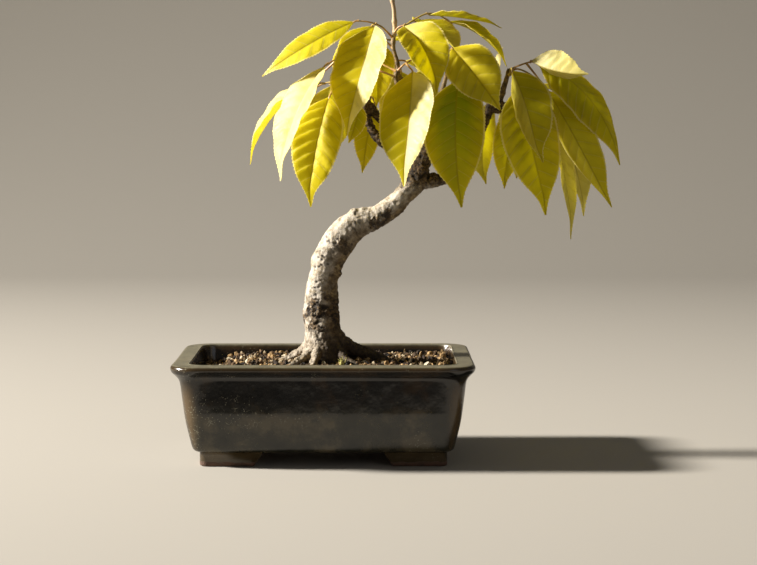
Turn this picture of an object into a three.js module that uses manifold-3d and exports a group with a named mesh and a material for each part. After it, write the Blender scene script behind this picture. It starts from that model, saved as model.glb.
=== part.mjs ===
// An ash grown as a bonsai, in its rectangular glazed pot.
// Millimetres, +Z up. The layout below is about the middle of the pot, on the surface that the feet stand on,
// and POT_SHIFT then brings the middle of the whole plant's box to the origin, because the crown leans to +X.
import * as THREE from "three";
import { mergeVertices } from "three/addons/utils/BufferGeometryUtils.js";
import Module from "manifold-3d";

const wasm = await Module();
wasm.setup();

// Driving dimensions
const POT_SHIFT = -60;
const POT_LENGTH = 240;
const POT_WIDTH = 168;
const POT_CORNER = 22.5;
const FOOT_HEIGHT = 11;
const FOOT_INSET = 22;
const FLOOR_TOP = 19;
const FOOT_THICKNESS = 12;
const FOOT_RUN_LONG = 50;
const FOOT_RUN_SHORT = 38;
const FOOT_SLANT = 7;
const DRAIN_RADIUS = 10;
const DRAIN_SPACING = 104;
const MESH_SIZE = 34;
const MESH_THICKNESS = 1.2;
const MESH_HOLE = 10;
const MESH_BAR = 4.2;
const SOIL_EDGE = 74;
const SOIL_MOUND = 3;
const SOIL_RELIEF = 1.1;
const SOIL_CELL = 10;
const SOIL_MARGIN = 21;
const GRAIN_COUNT = 60;
const SEAT_GAP = 0.3;
const BLADE_THICKNESS = 0.7;
const BLADE_ROWS = 12;
const BLADE_FOLD = 16;
const BLADE_CREST = 0.42;
const TOOTH_DEPTH = 1.3;
const TOOTH_LEAN = 0.45;
const STALK_RADIUS = 1.1;
const STALK_SIDES = 4;
const BARK_UNEVEN = 0.12;
const LIMB_RINGS = 1.4;

// Pot wall, outside then inside, as [inset from the rim's outer edge, height]
const POT_OUTSIDE = [
  [21.3, 11],
  [16.9, 13.6],
  [14.3, 22],
  [11.5, 34],
  [10.2, 42],
  [8.4, 57],
  [6.9, 65.5],
  [5.2, 68.8],
  [2.6, 72.8],
  [0.8, 75.2],
  [0, 78.2],
  [0.5, 80.1],
  [1.9, 81.2],
  [3.6, 81.4],
];
const POT_INSIDE = [
  [13.4, 81.4],
  [14.6, 80.9],
  [16.6, 72],
  [19, 50],
  [21.5, 28],
  [24.5, 21],
  [28, 19],
];

// Wood: each limb is [points along its middle, radii at those points, sides]
const TRUNK = [
  [
    [0, 0, 58],
    [0, 0, 76],
    [-1, 0, 87],
    [-2, 0, 100],
    [-3, 0, 116],
    [-2.5, 0, 131],
    [-1, 0, 145],
    [3, 0, 159],
    [10, 0, 172],
    [19, 0, 183],
    [30, 0, 190],
    [43, 0, 194.5],
    [55, 0, 202.5],
    [65, 0, 213],
    [74, 0, 223],
    [78, 0, 236],
    [84, 0, 250],
    [86, 0, 261],
    [84, 0, 272],
  ],
  [16, 20, 17.5, 15.2, 14.3, 13.6, 12, 12.3, 12.8, 12.2, 10.6, 9.4, 8.4, 8.4, 9.4, 7.6, 6.4, 5.6, 4.8],
  11,
];
const ROOTS = [
  [[[-5, 1, 94], [-17, 2, 87], [-27, 4, 81], [-37, 8, 75], [-46, 12, 67]], [9, 7, 5, 3.8, 2.6], 6],
  [[[-5, -4, 92], [-13, -15, 84], [-24, -27, 77], [-34, -37, 68]], [8, 6.2, 4.6, 2.8], 6],
  [[[-1, -6, 92], [-4, -18, 84], [-8, -31, 77], [-12, -43, 68]], [8, 6, 4.4, 2.6], 6],
  [[[6, -5, 92], [15, -16, 84], [27, -26, 77], [38, -34, 68]], [8, 5.8, 4.2, 2.6], 6],
  [[[5, 1, 98], [19, 4, 91], [34, 7, 84], [51, 10, 77], [64, 13, 68]], [9.5, 7.4, 5.6, 4.2, 2.6], 6],
  [[[2, 6, 93], [8, 19, 84], [12, 33, 77], [15, 45, 68]], [8.5, 6, 4.4, 2.6], 6],
  [[[-5, 5, 93], [-15, 17, 84], [-26, 30, 77], [-35, 40, 68]], [8.5, 5.8, 4.2, 2.6], 6],
];
const LIMBS = [
  // the right limb, which rises behind the leaves to its knot
  [
    [[74, 0, 222], [88, 0, 223], [99, 2, 226], [112, 4, 234], [121, 6, 248], [128, 6, 266], [134, 5, 280],
      [140, 4, 284]],
    [6.4, 5.4, 5, 4.4, 4, 3.6, 3.6, 4],
    7,
  ],
  // the two left limbs, which meet at the left knot
  [
    [[80, 0, 242], [66, 1, 248], [53, 2, 252], [43, 3, 258], [37, 4, 268], [33, 5, 279], [32, 5, 290]],
    [5.2, 4.4, 4.1, 3.9, 3.7, 3.6, 3.8],
    6,
  ],
  [
    [[86, 2, 258], [74, 6, 263], [60, 8, 266], [46, 8, 273], [37, 6, 284], [32, 5, 291]],
    [4.8, 4.2, 3.8, 3.6, 3.5, 3.6],
    6,
  ],
  // the leader, up to the young shoot at the top
  [
    [[85, 0, 268], [75, 0, 283], [63, 0, 296], [58, 0, 306], [59, 0, 314], [58, 0, 323], [56, 0, 331],
      [55.5, 0, 338], [57, 0, 347], [56.5, 0, 358], [54.5, 0, 370], [55, 1, 384], [57, 2, 396]],
    [4.8, 4, 3.3, 2.8, 2.5, 2.2, 2, 1.8, 1.7, 1.5, 1.4, 1.3, 1.2],
    6,
  ],
  // the middle shoot and the right shoot
  [
    [[86, 1, 262], [91, 4, 276], [95, 6, 291], [98, 5, 305], [100, 3, 318], [101, 0, 328]],
    [4, 3.4, 2.9, 2.5, 2.1, 1.8],
    6,
  ],
  [[[140, 4, 283], [144, 5, 294], [147, 5, 305], [150, 4, 314]], [3.8, 2.9, 2.4, 1.9], 6],
  // shoots to the back of the crown
  [[[32, 6, 289], [26, 20, 292], [18, 33, 295], [12, 45, 299]], [3.4, 2.7, 2.2, 1.8], 6],
  [[[63, 0, 296], [62, 14, 305], [60, 28, 311], [58, 40, 315]], [3, 2.5, 2.1, 1.8], 6],
  [[[86, 1, 266], [94, 16, 279], [100, 30, 289], [104, 42, 295]], [3.6, 2.9, 2.3, 1.8], 6],
  [[[140, 5, 283], [148, 16, 285], [156, 29, 289], [162, 41, 294]], [3.6, 2.8, 2.3, 1.8], 6],
];
// Knots and pruned stubs as [middle, radius]
const KNOTS = [
  [[140, 4, 284], 7],
  [[32, 5, 290], 5.6],
  [[21, -2, 193.5], 5],
  [[74, -3, 213], 5.4],
  [[-7, -3, 163], 4.6],
  [[88, 0, 225], 6.2],
];

// Compound leaves: a stalk that rises from its shoot, and leaflets on it. A leaflet is
// [where it leaves the stalk, base of the blade, tip, width, the way its upper side faces,
// bow of the midrib, twist in degrees].
const LEAVES = {
  leaf_apex_left: {
    stalk: [[56, 0, 338], [50, -3, 344], [45, -6, 348], [36, -8, 351], [26, -8, 352]],
    leaflets: [
      [[28, -8, 352], [24, -9, 351], [-50, -30, 308], 37, [-0.4, -0.6, 0.7], 0.06, 0],
      [[40, -7, 350], [35, -12, 347], [19, -42, 263], 46, [-0.12, -0.95, 0.35], 0.06, 5],
      [[41, -6, 350], [38, 1, 348], [14, 24, 297], 30, [-0.35, 0.5, 0.6], 0.1, 0],
    ],
  },
  leaf_apex_right: {
    stalk: [[56, 0, 342], [60, -4, 347], [66, -7, 349], [74, -6, 354], [83, -4, 358], [92, -1, 357],
      [99, 1, 353]],
    leaflets: [
      [[65, -7, 349], [64, -12, 347], [91, -42, 295], 38, [0.2, -0.8, 0.6], 0.13, -4],
      [[69, -7, 351], [73, 1, 352], [112, 40, 326], 34, [0.3, 0.2, 0.9], 0.1, 0],
      [[82, -4, 358], [85, -5, 357], [143, -15, 348], 36, [0.12, -0.02, 1], 0.03, 0],
      [[97, 0, 354], [101, 1, 352], [148, -14, 317], 32, [0.4, -0.25, 0.9], 0.1, 0],
    ],
  },
  leaf_upper_left: {
    stalk: [[58, 0, 312], [50, 3, 316], [43, 5, 319], [22, 5, 322], [9, 0, 321], [1, -7, 316]],
    leaflets: [
      [[3, -5, 318], [0, -9, 315], [-37, -38, 226], 42, [-0.45, -0.85, 0.3], 0.09, 6],
      [[10, 2, 321], [-13, 14, 300], [-64, 28, 238], 36, [-0.6, -0.2, 0.8], 0.1, 0],
    ],
  },
  leaf_middle_left: {
    stalk: [[58, 0, 307], [48, -2, 311], [41, 0, 312], [21, 4, 309], [10, 3, 300], [5, -1, 293]],
    leaflets: [
      [[6, 0, 295], [4, -3, 291], [-13, -21, 204], 43, [-0.05, -0.97, 0.25], 0.05, 0],
      [[13, 4, 304], [6, 11, 301], [-8, 38, 220], 36, [-0.1, 0.95, 0.25], 0.07, 0],
    ],
  },
  leaf_upper_behind: {
    stalk: [[56, 0, 330], [50, 10, 336], [46, 24, 338], [43, 36, 334]],
    leaflets: [
      [[49, 13, 336], [46, 16, 334], [43, 16, 284], 28, [-0.1, -0.95, 0.3], 0.05, 0],
      [[44, 34, 335], [41, 40, 332], [5, 60, 310], 34, [-0.3, 0.35, 0.9], 0.1, 0],
      [[46, 23, 338], [54, 28, 338], [106, 52, 320], 36, [0.2, 0.15, 0.97], 0.1, 0],
    ],
  },
  leaf_centre: {
    stalk: [[59, 0, 312], [64, -4, 317], [71, 2, 321], [79, 14, 321], [85, 26, 318]],
    leaflets: [
      [[66, -3, 318], [71, -9, 311], [62, -44, 222], 48, [-0.14, -0.95, 0.25], 0.05, 0],
      [[83, 24, 319], [84, 29, 316], [74, 54, 238], 34, [-0.2, 0.93, 0.35], 0.08, 0],
    ],
  },
  leaf_middle_top: {
    stalk: [[101, 0, 327], [103, -3, 330], [106, -7, 326], [108, -9, 316], [108, -10, 308]],
    leaflets: [
      [[108, -10, 310], [108, -10, 305], [109, -36, 204], 50, [-0.14, -0.97, 0.22], 0.05, 0],
      [[103, -4, 330], [103, -9, 330], [140, -32, 281], 40, [0.3, -0.75, 0.6], 0.16, 10],
    ],
  },
  leaf_right_bud: {
    stalk: [[140, 4, 286], [140, 4, 292], [140, 5, 296]],
    leaflets: [[[140, 5, 295], [140, 5, 298], [144, 9, 332], 20, [1, 0.1, 0.1], 0.06, 0]],
  },
  leaf_right_top: {
    stalk: [[150, 4, 313], [156, 0, 316], [165, -5, 319], [170, -6, 319]],
    leaflets: [
      [[166, -5, 319], [168, -9, 320], [209, -34, 308], 34, [0.1, -0.45, 0.9], 0.12, 0],
      [[169, -6, 319], [173, -2, 318], [240, -5, 237], 42, [0.5, -0.62, 0.6], 0.14, 0],
      [[163, -4, 318], [180, -6, 296], [229, -28, 203], 38, [0.5, -0.8, 0.35], 0.09, 0],
    ],
  },
  leaf_right_front: {
    stalk: [[150, 3, 309], [151, -3, 314], [151, -9, 314]],
    leaflets: [
      [[151, -7, 314], [151, -11, 312], [170, -40, 240], 37, [0.4, -0.9, 0.25], 0.07, 0],
      [[150, 0, 312], [156, 1, 299], [179, -15, 197], 46, [0, -0.97, 0.2], 0.05, 0],
    ],
  },
  leaf_right_hanging: {
    stalk: [[149, 5, 310], [157, 10, 314], [170, 14, 308], [180, 14, 297]],
    leaflets: [
      [[177, 14, 301], [181, 12, 293], [203, 4, 176], 34, [0.93, -0.34, 0.2], 0.01, 0],
      [[175, 15, 304], [188, 26, 288], [216, 36, 194], 34, [0.6, 0.6, 0.4], 0.07, 0],
    ],
  },
  leaf_right_rear: {
    stalk: [[138, 9, 287], [137, 14, 292], [136, 21, 291]],
    leaflets: [[[136, 19, 291], [135, 25, 287], [132, 38, 220], 32, [-0.5, 0.8, 0.3], 0.07, 0]],
  },
  leaf_right_inner: {
    stalk: [[151, 21, 287], [155, 21, 291], [159, 22, 289]],
    leaflets: [[[157, 22, 290], [159, 22, 285], [147, 31, 216], 28, [-0.1, -0.95, 0.2], 0.05, 0]],
  },
  leaf_left_small: {
    stalk: [[31, -1, 290], [30, -5, 291], [29, -7, 288]],
    leaflets: [[[29, -6, 289], [28, -8, 285], [20, -9, 254], 16, [0.2, -0.9, 0.3], 0.06, 0]],
  },
  leaf_left_hanging: {
    stalk: [[33, 9, 291], [35, 18, 294], [38, 25, 291]],
    leaflets: [[[38, 24, 292], [41, 28, 286], [31, 28, 229], 22, [-0.2, -0.95, 0.1], 0.05, 0]],
  },
  leaf_back_left: {
    stalk: [[13, 44, 299], [7, 51, 304], [-2, 56, 303], [-12, 57, 298]],
    leaflets: [
      [[-10, 57, 299], [-14, 56, 296], [-25, 62, 240], 32, [-0.3, 0.85, 0.4], 0.08, 0],
      [[3, 54, 303], [7, 61, 299], [2, 77, 240], 34, [0, 0.95, 0.3], 0.06, 0],
      [[-1, 55, 303], [-6, 49, 303], [-45, 38, 264], 30, [-0.6, -0.1, 0.8], 0.1, 0],
    ],
  },
  leaf_back_centre: {
    stalk: [[58, 39, 315], [58, 47, 321], [60, 55, 321], [62, 62, 316]],
    leaflets: [
      [[62, 61, 317], [63, 63, 313], [67, 76, 232], 40, [0.05, 0.97, 0.25], 0.05, 0],
      [[59, 50, 322], [52, 54, 323], [26, 74, 262], 36, [-0.4, 0.75, 0.6], 0.1, 0],
      [[60, 53, 322], [66, 56, 322], [94, 67, 300], 26, [0.4, 0.4, 0.8], 0.12, 0],
    ],
  },
  leaf_back_middle: {
    stalk: [[103, 41, 295], [107, 48, 300], [113, 54, 299], [117, 60, 294]],
    leaflets: [
      [[117, 59, 295], [118, 63, 291], [117, 77, 222], 38, [0.1, 0.95, 0.25], 0.06, 0],
      [[109, 49, 300], [103, 52, 297], [84, 66, 236], 32, [-0.25, 0.9, 0.35], 0.06, 0],
    ],
  },
  leaf_back_right: {
    stalk: [[161, 40, 294], [164, 47, 299], [170, 52, 299], [177, 55, 295]],
    leaflets: [
      [[176, 55, 296], [180, 56, 292], [213, 64, 214], 38, [0.5, 0.8, 0.35], 0.09, 0],
      [[165, 49, 299], [163, 55, 296], [161, 75, 224], 36, [0, 0.95, 0.3], 0.06, 0],
      [[169, 51, 299], [175, 46, 301], [209, 52, 281], 26, [0.4, 0.1, 0.9], 0.12, 0],
    ],
  },
  leaf_top_pair: {
    stalk: [[57, 2, 395.5], [58, 2, 398], [58, 2, 400]],
    leaflets: [
      [[58, 2, 398.5], [56, 2, 400], [38, 0, 421], 12, [0.6, -0.2, 0.75], -0.1, 0],
      [[58, 2, 398.5], [60, 3, 400], [77, 6, 419], 12, [-0.6, 0, 0.75], -0.1, 0],
    ],
  },
};

// A repeatable stream of numbers between 0 and 1
function seeded(seed) {
  let state = seed >>> 0;
  return () => {
    state = (state + 0x6d2b79f5) >>> 0;
    let mixed = Math.imul(state ^ (state >>> 15), 1 | state);
    mixed = (mixed + Math.imul(mixed ^ (mixed >>> 7), 61 | mixed)) ^ mixed;
    return ((mixed ^ (mixed >>> 14)) >>> 0) / 4294967296;
  };
}

// A geometry with only its positions, each shared by the faces that meet there
function mergedOf(geometry) {
  const plain = geometry.index ? geometry.toNonIndexed() : geometry.clone();
  plain.deleteAttribute("normal");
  plain.deleteAttribute("uv");
  return mergeVertices(plain, 1e-4);
}

// A closed three.js geometry as a solid that can be cut and joined
function solidOf(geometry) {
  const merged = mergedOf(geometry);
  return new wasm.Manifold(
    new wasm.Mesh({
      numProp: 3,
      vertProperties: merged.attributes.position.array,
      triVerts: new Uint32Array(merged.index.array),
    }),
  );
}

function geometryOf(solid) {
  const mesh = solid.getMesh();
  const positions = new Float32Array(mesh.numVert * 3);
  for (let i = 0; i < mesh.numVert; i++)
    positions.set(mesh.vertProperties.subarray(i * mesh.numProp, i * mesh.numProp + 3), i * 3);
  const geometry = new THREE.BufferGeometry();
  geometry.setAttribute("position", new THREE.BufferAttribute(positions, 3));
  geometry.setIndex(new THREE.BufferAttribute(mesh.triVerts, 1));
  return geometry;
}

// The largest body of a solid, so that a cut leaves no loose scrap
function mainBody(solid) {
  return solid.decompose().reduce((a, b) => (b.volume() > a.volume() ? b : a));
}

// A closed skin over rings of points, each ring running anticlockwise seen from the end of the loft
function loft(rings) {
  const count = rings[0].length;
  const positions = rings.flat().flatMap((p) => p.toArray());
  const faces = [];
  for (let r = 0; r + 1 < rings.length; r++)
    for (let i = 0; i < count; i++) {
      const a = r * count + i;
      const b = r * count + ((i + 1) % count);
      faces.push(a, b, b + count, a, b + count, a + count);
    }
  const middle = (ring) => ring.reduce((sum, p) => sum.add(p), new THREE.Vector3()).divideScalar(count);
  const start = rings.length * count;
  positions.push(...middle(rings[0]).toArray(), ...middle(rings.at(-1)).toArray());
  const last = (rings.length - 1) * count;
  for (let i = 0; i < count; i++) {
    const next = (i + 1) % count;
    faces.push(start, next, i, start + 1, last + i, last + next);
  }
  const geometry = new THREE.BufferGeometry();
  geometry.setAttribute("position", new THREE.Float32BufferAttribute(positions, 3));
  geometry.setIndex(faces);
  return geometry;
}

// One rounded rectangle of the pot at an inset from the rim, the corners softening as it narrows
function potRing(inset, z, steps = 3) {
  const radius = Math.max(POT_CORNER - 0.75 * inset, 5);
  const halfX = POT_LENGTH / 2 - inset - radius;
  const halfY = POT_WIDTH / 2 - inset - radius;
  const corners = [
    [halfX, halfY],
    [-halfX, halfY],
    [-halfX, -halfY],
    [halfX, -halfY],
  ];
  return corners.flatMap(([x, y], quarter) =>
    Array.from({ length: steps + 1 }, (_, i) => {
      const angle = ((quarter + i / steps) * Math.PI) / 2;
      return new THREE.Vector3(x + radius * Math.cos(angle), y + radius * Math.sin(angle), z);
    }),
  );
}

// The fired pot: walls, floor with two drain holes, and a bracket foot at each corner
function makePot() {
  const wall = solidOf(loft([...POT_OUTSIDE, ...POT_INSIDE].map(([inset, z]) => potRing(inset, z))));
  const footRings = [
    [1.2, 0],
    [0.2, 1.6],
    [0, FOOT_HEIGHT + 1],
  ];
  const footOuter = solidOf(loft(footRings.map(([inset, z]) => potRing(FOOT_INSET + inset, z))));
  const footInside = FOOT_INSET + FOOT_THICKNESS;
  const footInner = solidOf(loft([potRing(footInside, -1), potRing(footInside, FOOT_HEIGHT + 2)]));
  let feet = footOuter.subtract(footInner);
  const spans = [
    [POT_LENGTH / 2 - FOOT_INSET - FOOT_RUN_LONG, POT_WIDTH + 20, 0],
    [POT_WIDTH / 2 - FOOT_INSET - FOOT_RUN_SHORT, POT_LENGTH + 20, Math.PI / 2],
  ];
  for (const [half, depth, turn] of spans) {
    const outline = new THREE.Shape();
    outline.moveTo(-half - FOOT_SLANT - 1, -1);
    outline.lineTo(half + FOOT_SLANT + 1, -1);
    outline.quadraticCurveTo(half + 1, FOOT_HEIGHT - 3, half, FOOT_HEIGHT);
    outline.lineTo(half, FOOT_HEIGHT + 2);
    outline.lineTo(-half, FOOT_HEIGHT + 2);
    outline.lineTo(-half, FOOT_HEIGHT);
    outline.quadraticCurveTo(-half - 1, FOOT_HEIGHT - 3, -half - FOOT_SLANT - 1, -1);
    const span = new THREE.ExtrudeGeometry(outline, { depth, bevelEnabled: false, curveSegments: 3 });
    span.translate(0, 0, -depth / 2);
    span.rotateX(Math.PI / 2);
    span.rotateZ(turn);
    feet = feet.subtract(solidOf(span));
  }
  let pot = wall.add(feet);
  for (const side of [-1, 1]) {
    const drain = new THREE.CylinderGeometry(DRAIN_RADIUS, DRAIN_RADIUS, 3 * FLOOR_TOP, 16);
    drain.rotateX(Math.PI / 2);
    drain.translate((side * DRAIN_SPACING) / 2, 0, FLOOR_TOP);
    pot = pot.subtract(solidOf(drain));
  }
  return mainBody(pot);
}

// A square of plastic mesh that keeps the soil out of a drain hole
function makeDrainMesh(side) {
  let sheet = solidOf(new THREE.BoxGeometry(MESH_SIZE, MESH_SIZE, MESH_THICKNESS));
  const pitch = (MESH_HOLE + MESH_BAR) / 2;
  for (const column of [-1, 1])
    for (const row of [-1, 1]) {
      const hole = new THREE.BoxGeometry(MESH_HOLE, MESH_HOLE, 3 * MESH_THICKNESS);
      hole.translate(column * pitch, row * pitch, 0);
      sheet = sheet.subtract(solidOf(hole));
    }
  return sheet.translate((side * DRAIN_SPACING) / 2, 0, FLOOR_TOP + SEAT_GAP + MESH_THICKNESS / 2);
}

// A limb or root: a tapered tube on a smooth curve, its bark uneven, its ends closed.
// grow makes the same tube a little fatter and longer, for the hole that it needs.
function limbSolid([points, radii, sides], seed, grow = 0) {
  const draw = seeded(seed);
  const curve = new THREE.CatmullRomCurve3(points.map((p) => new THREE.Vector3(...p)));
  const steps = Math.round((points.length - 1) * LIMB_RINGS);
  const rings = [];
  let across = new THREE.Vector3(0, 1, 0.01);
  for (let s = 0; s <= steps; s++) {
    const t = s / steps;
    const along = curve.getTangent(t);
    across = across.clone().addScaledVector(along, -across.dot(along)).normalize();
    const up = along.clone().cross(across);
    const place = t * (radii.length - 1);
    const index = Math.min(Math.floor(place), radii.length - 2);
    const radius = THREE.MathUtils.lerp(radii[index], radii[index + 1], place - index);
    const centre = curve.getPoint(t);
    if (s === 0) centre.addScaledVector(along, -grow);
    if (s === steps) centre.addScaledVector(along, grow);
    rings.push(
      Array.from({ length: sides }, (_, i) => {
        const angle = (2 * Math.PI * i) / sides;
        const reach = radius * (1 + BARK_UNEVEN * (draw() - 0.5)) + grow;
        return centre
          .clone()
          .addScaledVector(across, reach * Math.cos(angle))
          .addScaledVector(up, reach * Math.sin(angle));
      }),
    );
  }
  return solidOf(loft(rings));
}

// A callus knot or the healed end of a pruned branch
function knotSolid([middle, radius], seed, grow = 0) {
  const draw = seeded(seed);
  const knot = mergedOf(new THREE.IcosahedronGeometry(radius, 0));
  const position = knot.attributes.position;
  const point = new THREE.Vector3();
  for (let i = 0; i < position.count; i++) {
    point.fromBufferAttribute(position, i);
    point.setLength(radius * (0.86 + 0.28 * draw()) + grow);
    position.setXYZ(i, point.x, point.y, point.z);
  }
  knot.translate(...middle);
  return solidOf(knot);
}

// All the wood as one solid
function woodSolid(grow = 0) {
  const limbs = [TRUNK, ...ROOTS, ...LIMBS].map((limb, i) => limbSolid(limb, 100 + i, grow));
  const knots = KNOTS.map((knot, i) => knotSolid(knot, 300 + i, grow));
  return wasm.Manifold.union([...limbs, ...knots]);
}

// Height of the soil at a place, before its grains
function soilHeight(x, y) {
  const spread = Math.exp(-(x * x) / 2600 - (y * y) / 1500);
  return SOIL_EDGE + SOIL_MOUND * spread;
}

// The soil that fills the pot, its top broken up by grains, with a plain hole for the wood
function makeSoil(woodHole) {
  const draw = seeded(7);
  const gap = SEAT_GAP + 0.05;
  const fill = POT_INSIDE.map(([inset, z]) => potRing(inset + gap, z + gap)).reverse();
  const cavity = solidOf(loft([...fill, potRing(POT_INSIDE[0][0] + gap, SOIL_EDGE + 20)]));
  const length = POT_LENGTH - 20;
  const width = POT_WIDTH - 20;
  const columns = Math.round(length / SOIL_CELL);
  const rows = Math.round(width / SOIL_CELL);
  const depth = 80;
  const slab = mergedOf(new THREE.BoxGeometry(length, width, depth, columns, rows, 1));
  const position = slab.attributes.position;
  for (let i = 0; i < position.count; i++) {
    if (position.getZ(i) < 0) {
      position.setZ(i, 0);
      continue;
    }
    const x = position.getX(i);
    const y = position.getY(i);
    const inside = Math.abs(x) < length / 2 - 1 && Math.abs(y) < width / 2 - 1;
    const drift = inside ? SOIL_CELL * 0.3 : 0;
    position.setXYZ(
      i,
      x + drift * (draw() - 0.5),
      y + drift * (draw() - 0.5),
      soilHeight(x, y) + SOIL_RELIEF * 2 * (draw() - 0.5),
    );
  }
  let soil = solidOf(slab);
  const grains = [];
  for (let i = 0; i < GRAIN_COUNT; i++) {
    const size = 2 + 1.6 * draw();
    const grain = new THREE.OctahedronGeometry(size, 0);
    grain.scale(1, 0.75 + 0.3 * draw(), 0.7 + 0.3 * draw());
    grain.rotateX(Math.PI * draw());
    grain.rotateZ(Math.PI * draw());
    const x = (draw() - 0.5) * (POT_LENGTH - 2 * SOIL_MARGIN);
    const y = (draw() - 0.5) * (POT_WIDTH - 2 * SOIL_MARGIN);
    grain.translate(x, y, soilHeight(x, y) + 0.35 * size);
    grains.push(solidOf(grain));
  }
  soil = wasm.Manifold.union([soil, ...grains]).intersect(cavity);
  for (const side of [-1, 1]) {
    const room = MESH_SIZE + 2 * gap;
    const pocket = new THREE.BoxGeometry(room, room, 2 * (MESH_THICKNESS + 2 * gap));
    pocket.translate((side * DRAIN_SPACING) / 2, 0, FLOOR_TOP + gap);
    soil = soil.subtract(solidOf(pocket));
  }
  return mainBody(soil.subtract(woodHole));
}

// Half the width of an ash leaflet along its length: broad below the middle, drawn out to a drip tip
function halfWidth(t, width) {
  const swell = Math.sin(Math.PI * Math.pow(t, 0.85));
  return Math.max((width / 2) * Math.pow(Math.max(swell, 0), 0.72 + 0.62 * t), 0.7);
}

// One leaflet: its short stalk, then a blade folded along a bowed midrib,
// its margin cut into teeth that lean to the tip
function leafletGeometry([from, baseAt, tipAt, width, faceTo, bow, twist]) {
  const start = new THREE.Vector3(...from);
  const base = new THREE.Vector3(...baseAt);
  const tip = new THREE.Vector3(...tipAt);
  const axis = tip.clone().sub(base);
  const length = axis.length();
  axis.normalize();
  const face = new THREE.Vector3(...faceTo);
  face.addScaledVector(axis, -face.dot(axis)).normalize();
  const crest = base.clone().lerp(tip, BLADE_CREST).addScaledVector(face, 2 * bow * length);
  const midrib = new THREE.QuadraticBezierCurve3(base, crest, tip);
  const fold = THREE.MathUtils.degToRad(BLADE_FOLD);
  const level = midrib.getTangent(0).cross(face);
  const upper = [];
  const lower = [];
  for (let row = -1; row <= BLADE_ROWS; row++) {
    const onStalk = row < 1;
    const tooth = row % 2 === 1 && row < BLADE_ROWS;
    const thick = onStalk ? STALK_RADIUS * 0.8 : BLADE_THICKNESS / 2;
    for (const side of [-1, 0, 1]) {
      const lean = tooth && side ? TOOTH_LEAN / BLADE_ROWS : 0;
      const t = THREE.MathUtils.clamp(row / BLADE_ROWS + lean, 0, 1);
      const along = row < 0 ? base.clone().sub(start).normalize() : midrib.getTangent(t);
      const across = onStalk
        ? level.clone().addScaledVector(along, -level.dot(along)).normalize()
        : along.clone().cross(face).normalize().applyAxisAngle(along, THREE.MathUtils.degToRad(twist) * t);
      const up = across.clone().cross(along);
      const half = onStalk ? STALK_RADIUS * 0.8 : halfWidth(t, width) + (tooth ? TOOTH_DEPTH : 0);
      const lift = onStalk ? 0 : half * Math.abs(side) * Math.sin(fold);
      const point = (row < 0 ? start.clone() : midrib.getPoint(t))
        .addScaledVector(across, side * half * Math.cos(onStalk ? 0 : fold))
        .addScaledVector(up, lift);
      upper.push(point.clone().addScaledVector(up, thick));
      lower.push(point.addScaledVector(up, -thick));
    }
  }
  const faces = [];
  const rim = [];
  const under = upper.length;
  const rows = under / 3 - 1;
  for (let row = 0; row < rows; row++) {
    for (let column = 0; column < 2; column++) {
      const a = row * 3 + column;
      const [b, c, d] = [a + 1, a + 4, a + 3];
      const halves = column ? [a, b, c, a, c, d] : [a, b, d, b, c, d];
      faces.push(...halves);
      for (let k = 0; k < 6; k += 3)
        faces.push(under + halves[k], under + halves[k + 2], under + halves[k + 1]);
    }
    rim.push([row * 3 + 3, row * 3], [row * 3 + 2, row * 3 + 5]);
  }
  const end = rows * 3;
  rim.push([0, 1], [1, 2], [end + 1, end], [end + 2, end + 1]);
  for (const [a, b] of rim) faces.push(b, a, under + a, b, under + a, under + b);
  const positions = [...upper, ...lower].flatMap((p) => p.toArray());
  const geometry = new THREE.BufferGeometry();
  geometry.setAttribute("position", new THREE.Float32BufferAttribute(positions, 3));
  geometry.setIndex(faces);
  return geometry;
}

// A thin stalk through points, its first end inside the wood
function stalkSolid(points) {
  const curve = new THREE.CatmullRomCurve3(points.map((p) => new THREE.Vector3(...p)));
  const steps = points.length - 1;
  const rings = [];
  let across = new THREE.Vector3(0.1, 1, 0.05);
  for (let s = 0; s <= steps; s++) {
    const along = curve.getTangent(s / steps);
    across = across.clone().addScaledVector(along, -across.dot(along)).normalize();
    const up = along.clone().cross(across);
    const centre = curve.getPoint(s / steps);
    rings.push(
      Array.from({ length: STALK_SIDES }, (_, i) => {
        const angle = (2 * Math.PI * i) / STALK_SIDES;
        return centre
          .clone()
          .addScaledVector(across, STALK_RADIUS * Math.cos(angle))
          .addScaledVector(up, STALK_RADIUS * Math.sin(angle));
      }),
    );
  }
  return solidOf(loft(rings));
}

// A compound leaf: its stalk and leaflets in one solid, cut clear of the wood that carries it
function makeLeaf({ stalk, leaflets }, woodHole) {
  const blades = leaflets.map((leaflet) => solidOf(leafletGeometry(leaflet)));
  return mainBody(wasm.Manifold.union([stalkSolid(stalk), ...blades]).subtract(woodHole));
}

const glazedStoneware = new THREE.MeshStandardMaterial({ color: 0x24211a, roughness: 0.3 });
const nylonMesh = new THREE.MeshStandardMaterial({ color: 0x1d1f1e, roughness: 0.7 });
const soilGrit = new THREE.MeshStandardMaterial({ color: 0x8a6a45, roughness: 0.95 });
const ashBark = new THREE.MeshStandardMaterial({ color: 0x9d8f7c, roughness: 0.85 });
const ashLeaf = new THREE.MeshStandardMaterial({ color: 0xb9a81e, roughness: 0.5 });

const bonsai = new THREE.Group();
bonsai.position.x = POT_SHIFT;

function addPiece(name, solid, material) {
  const mesh = new THREE.Mesh(geometryOf(solid), material);
  mesh.name = name;
  bonsai.add(mesh);
}

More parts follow.
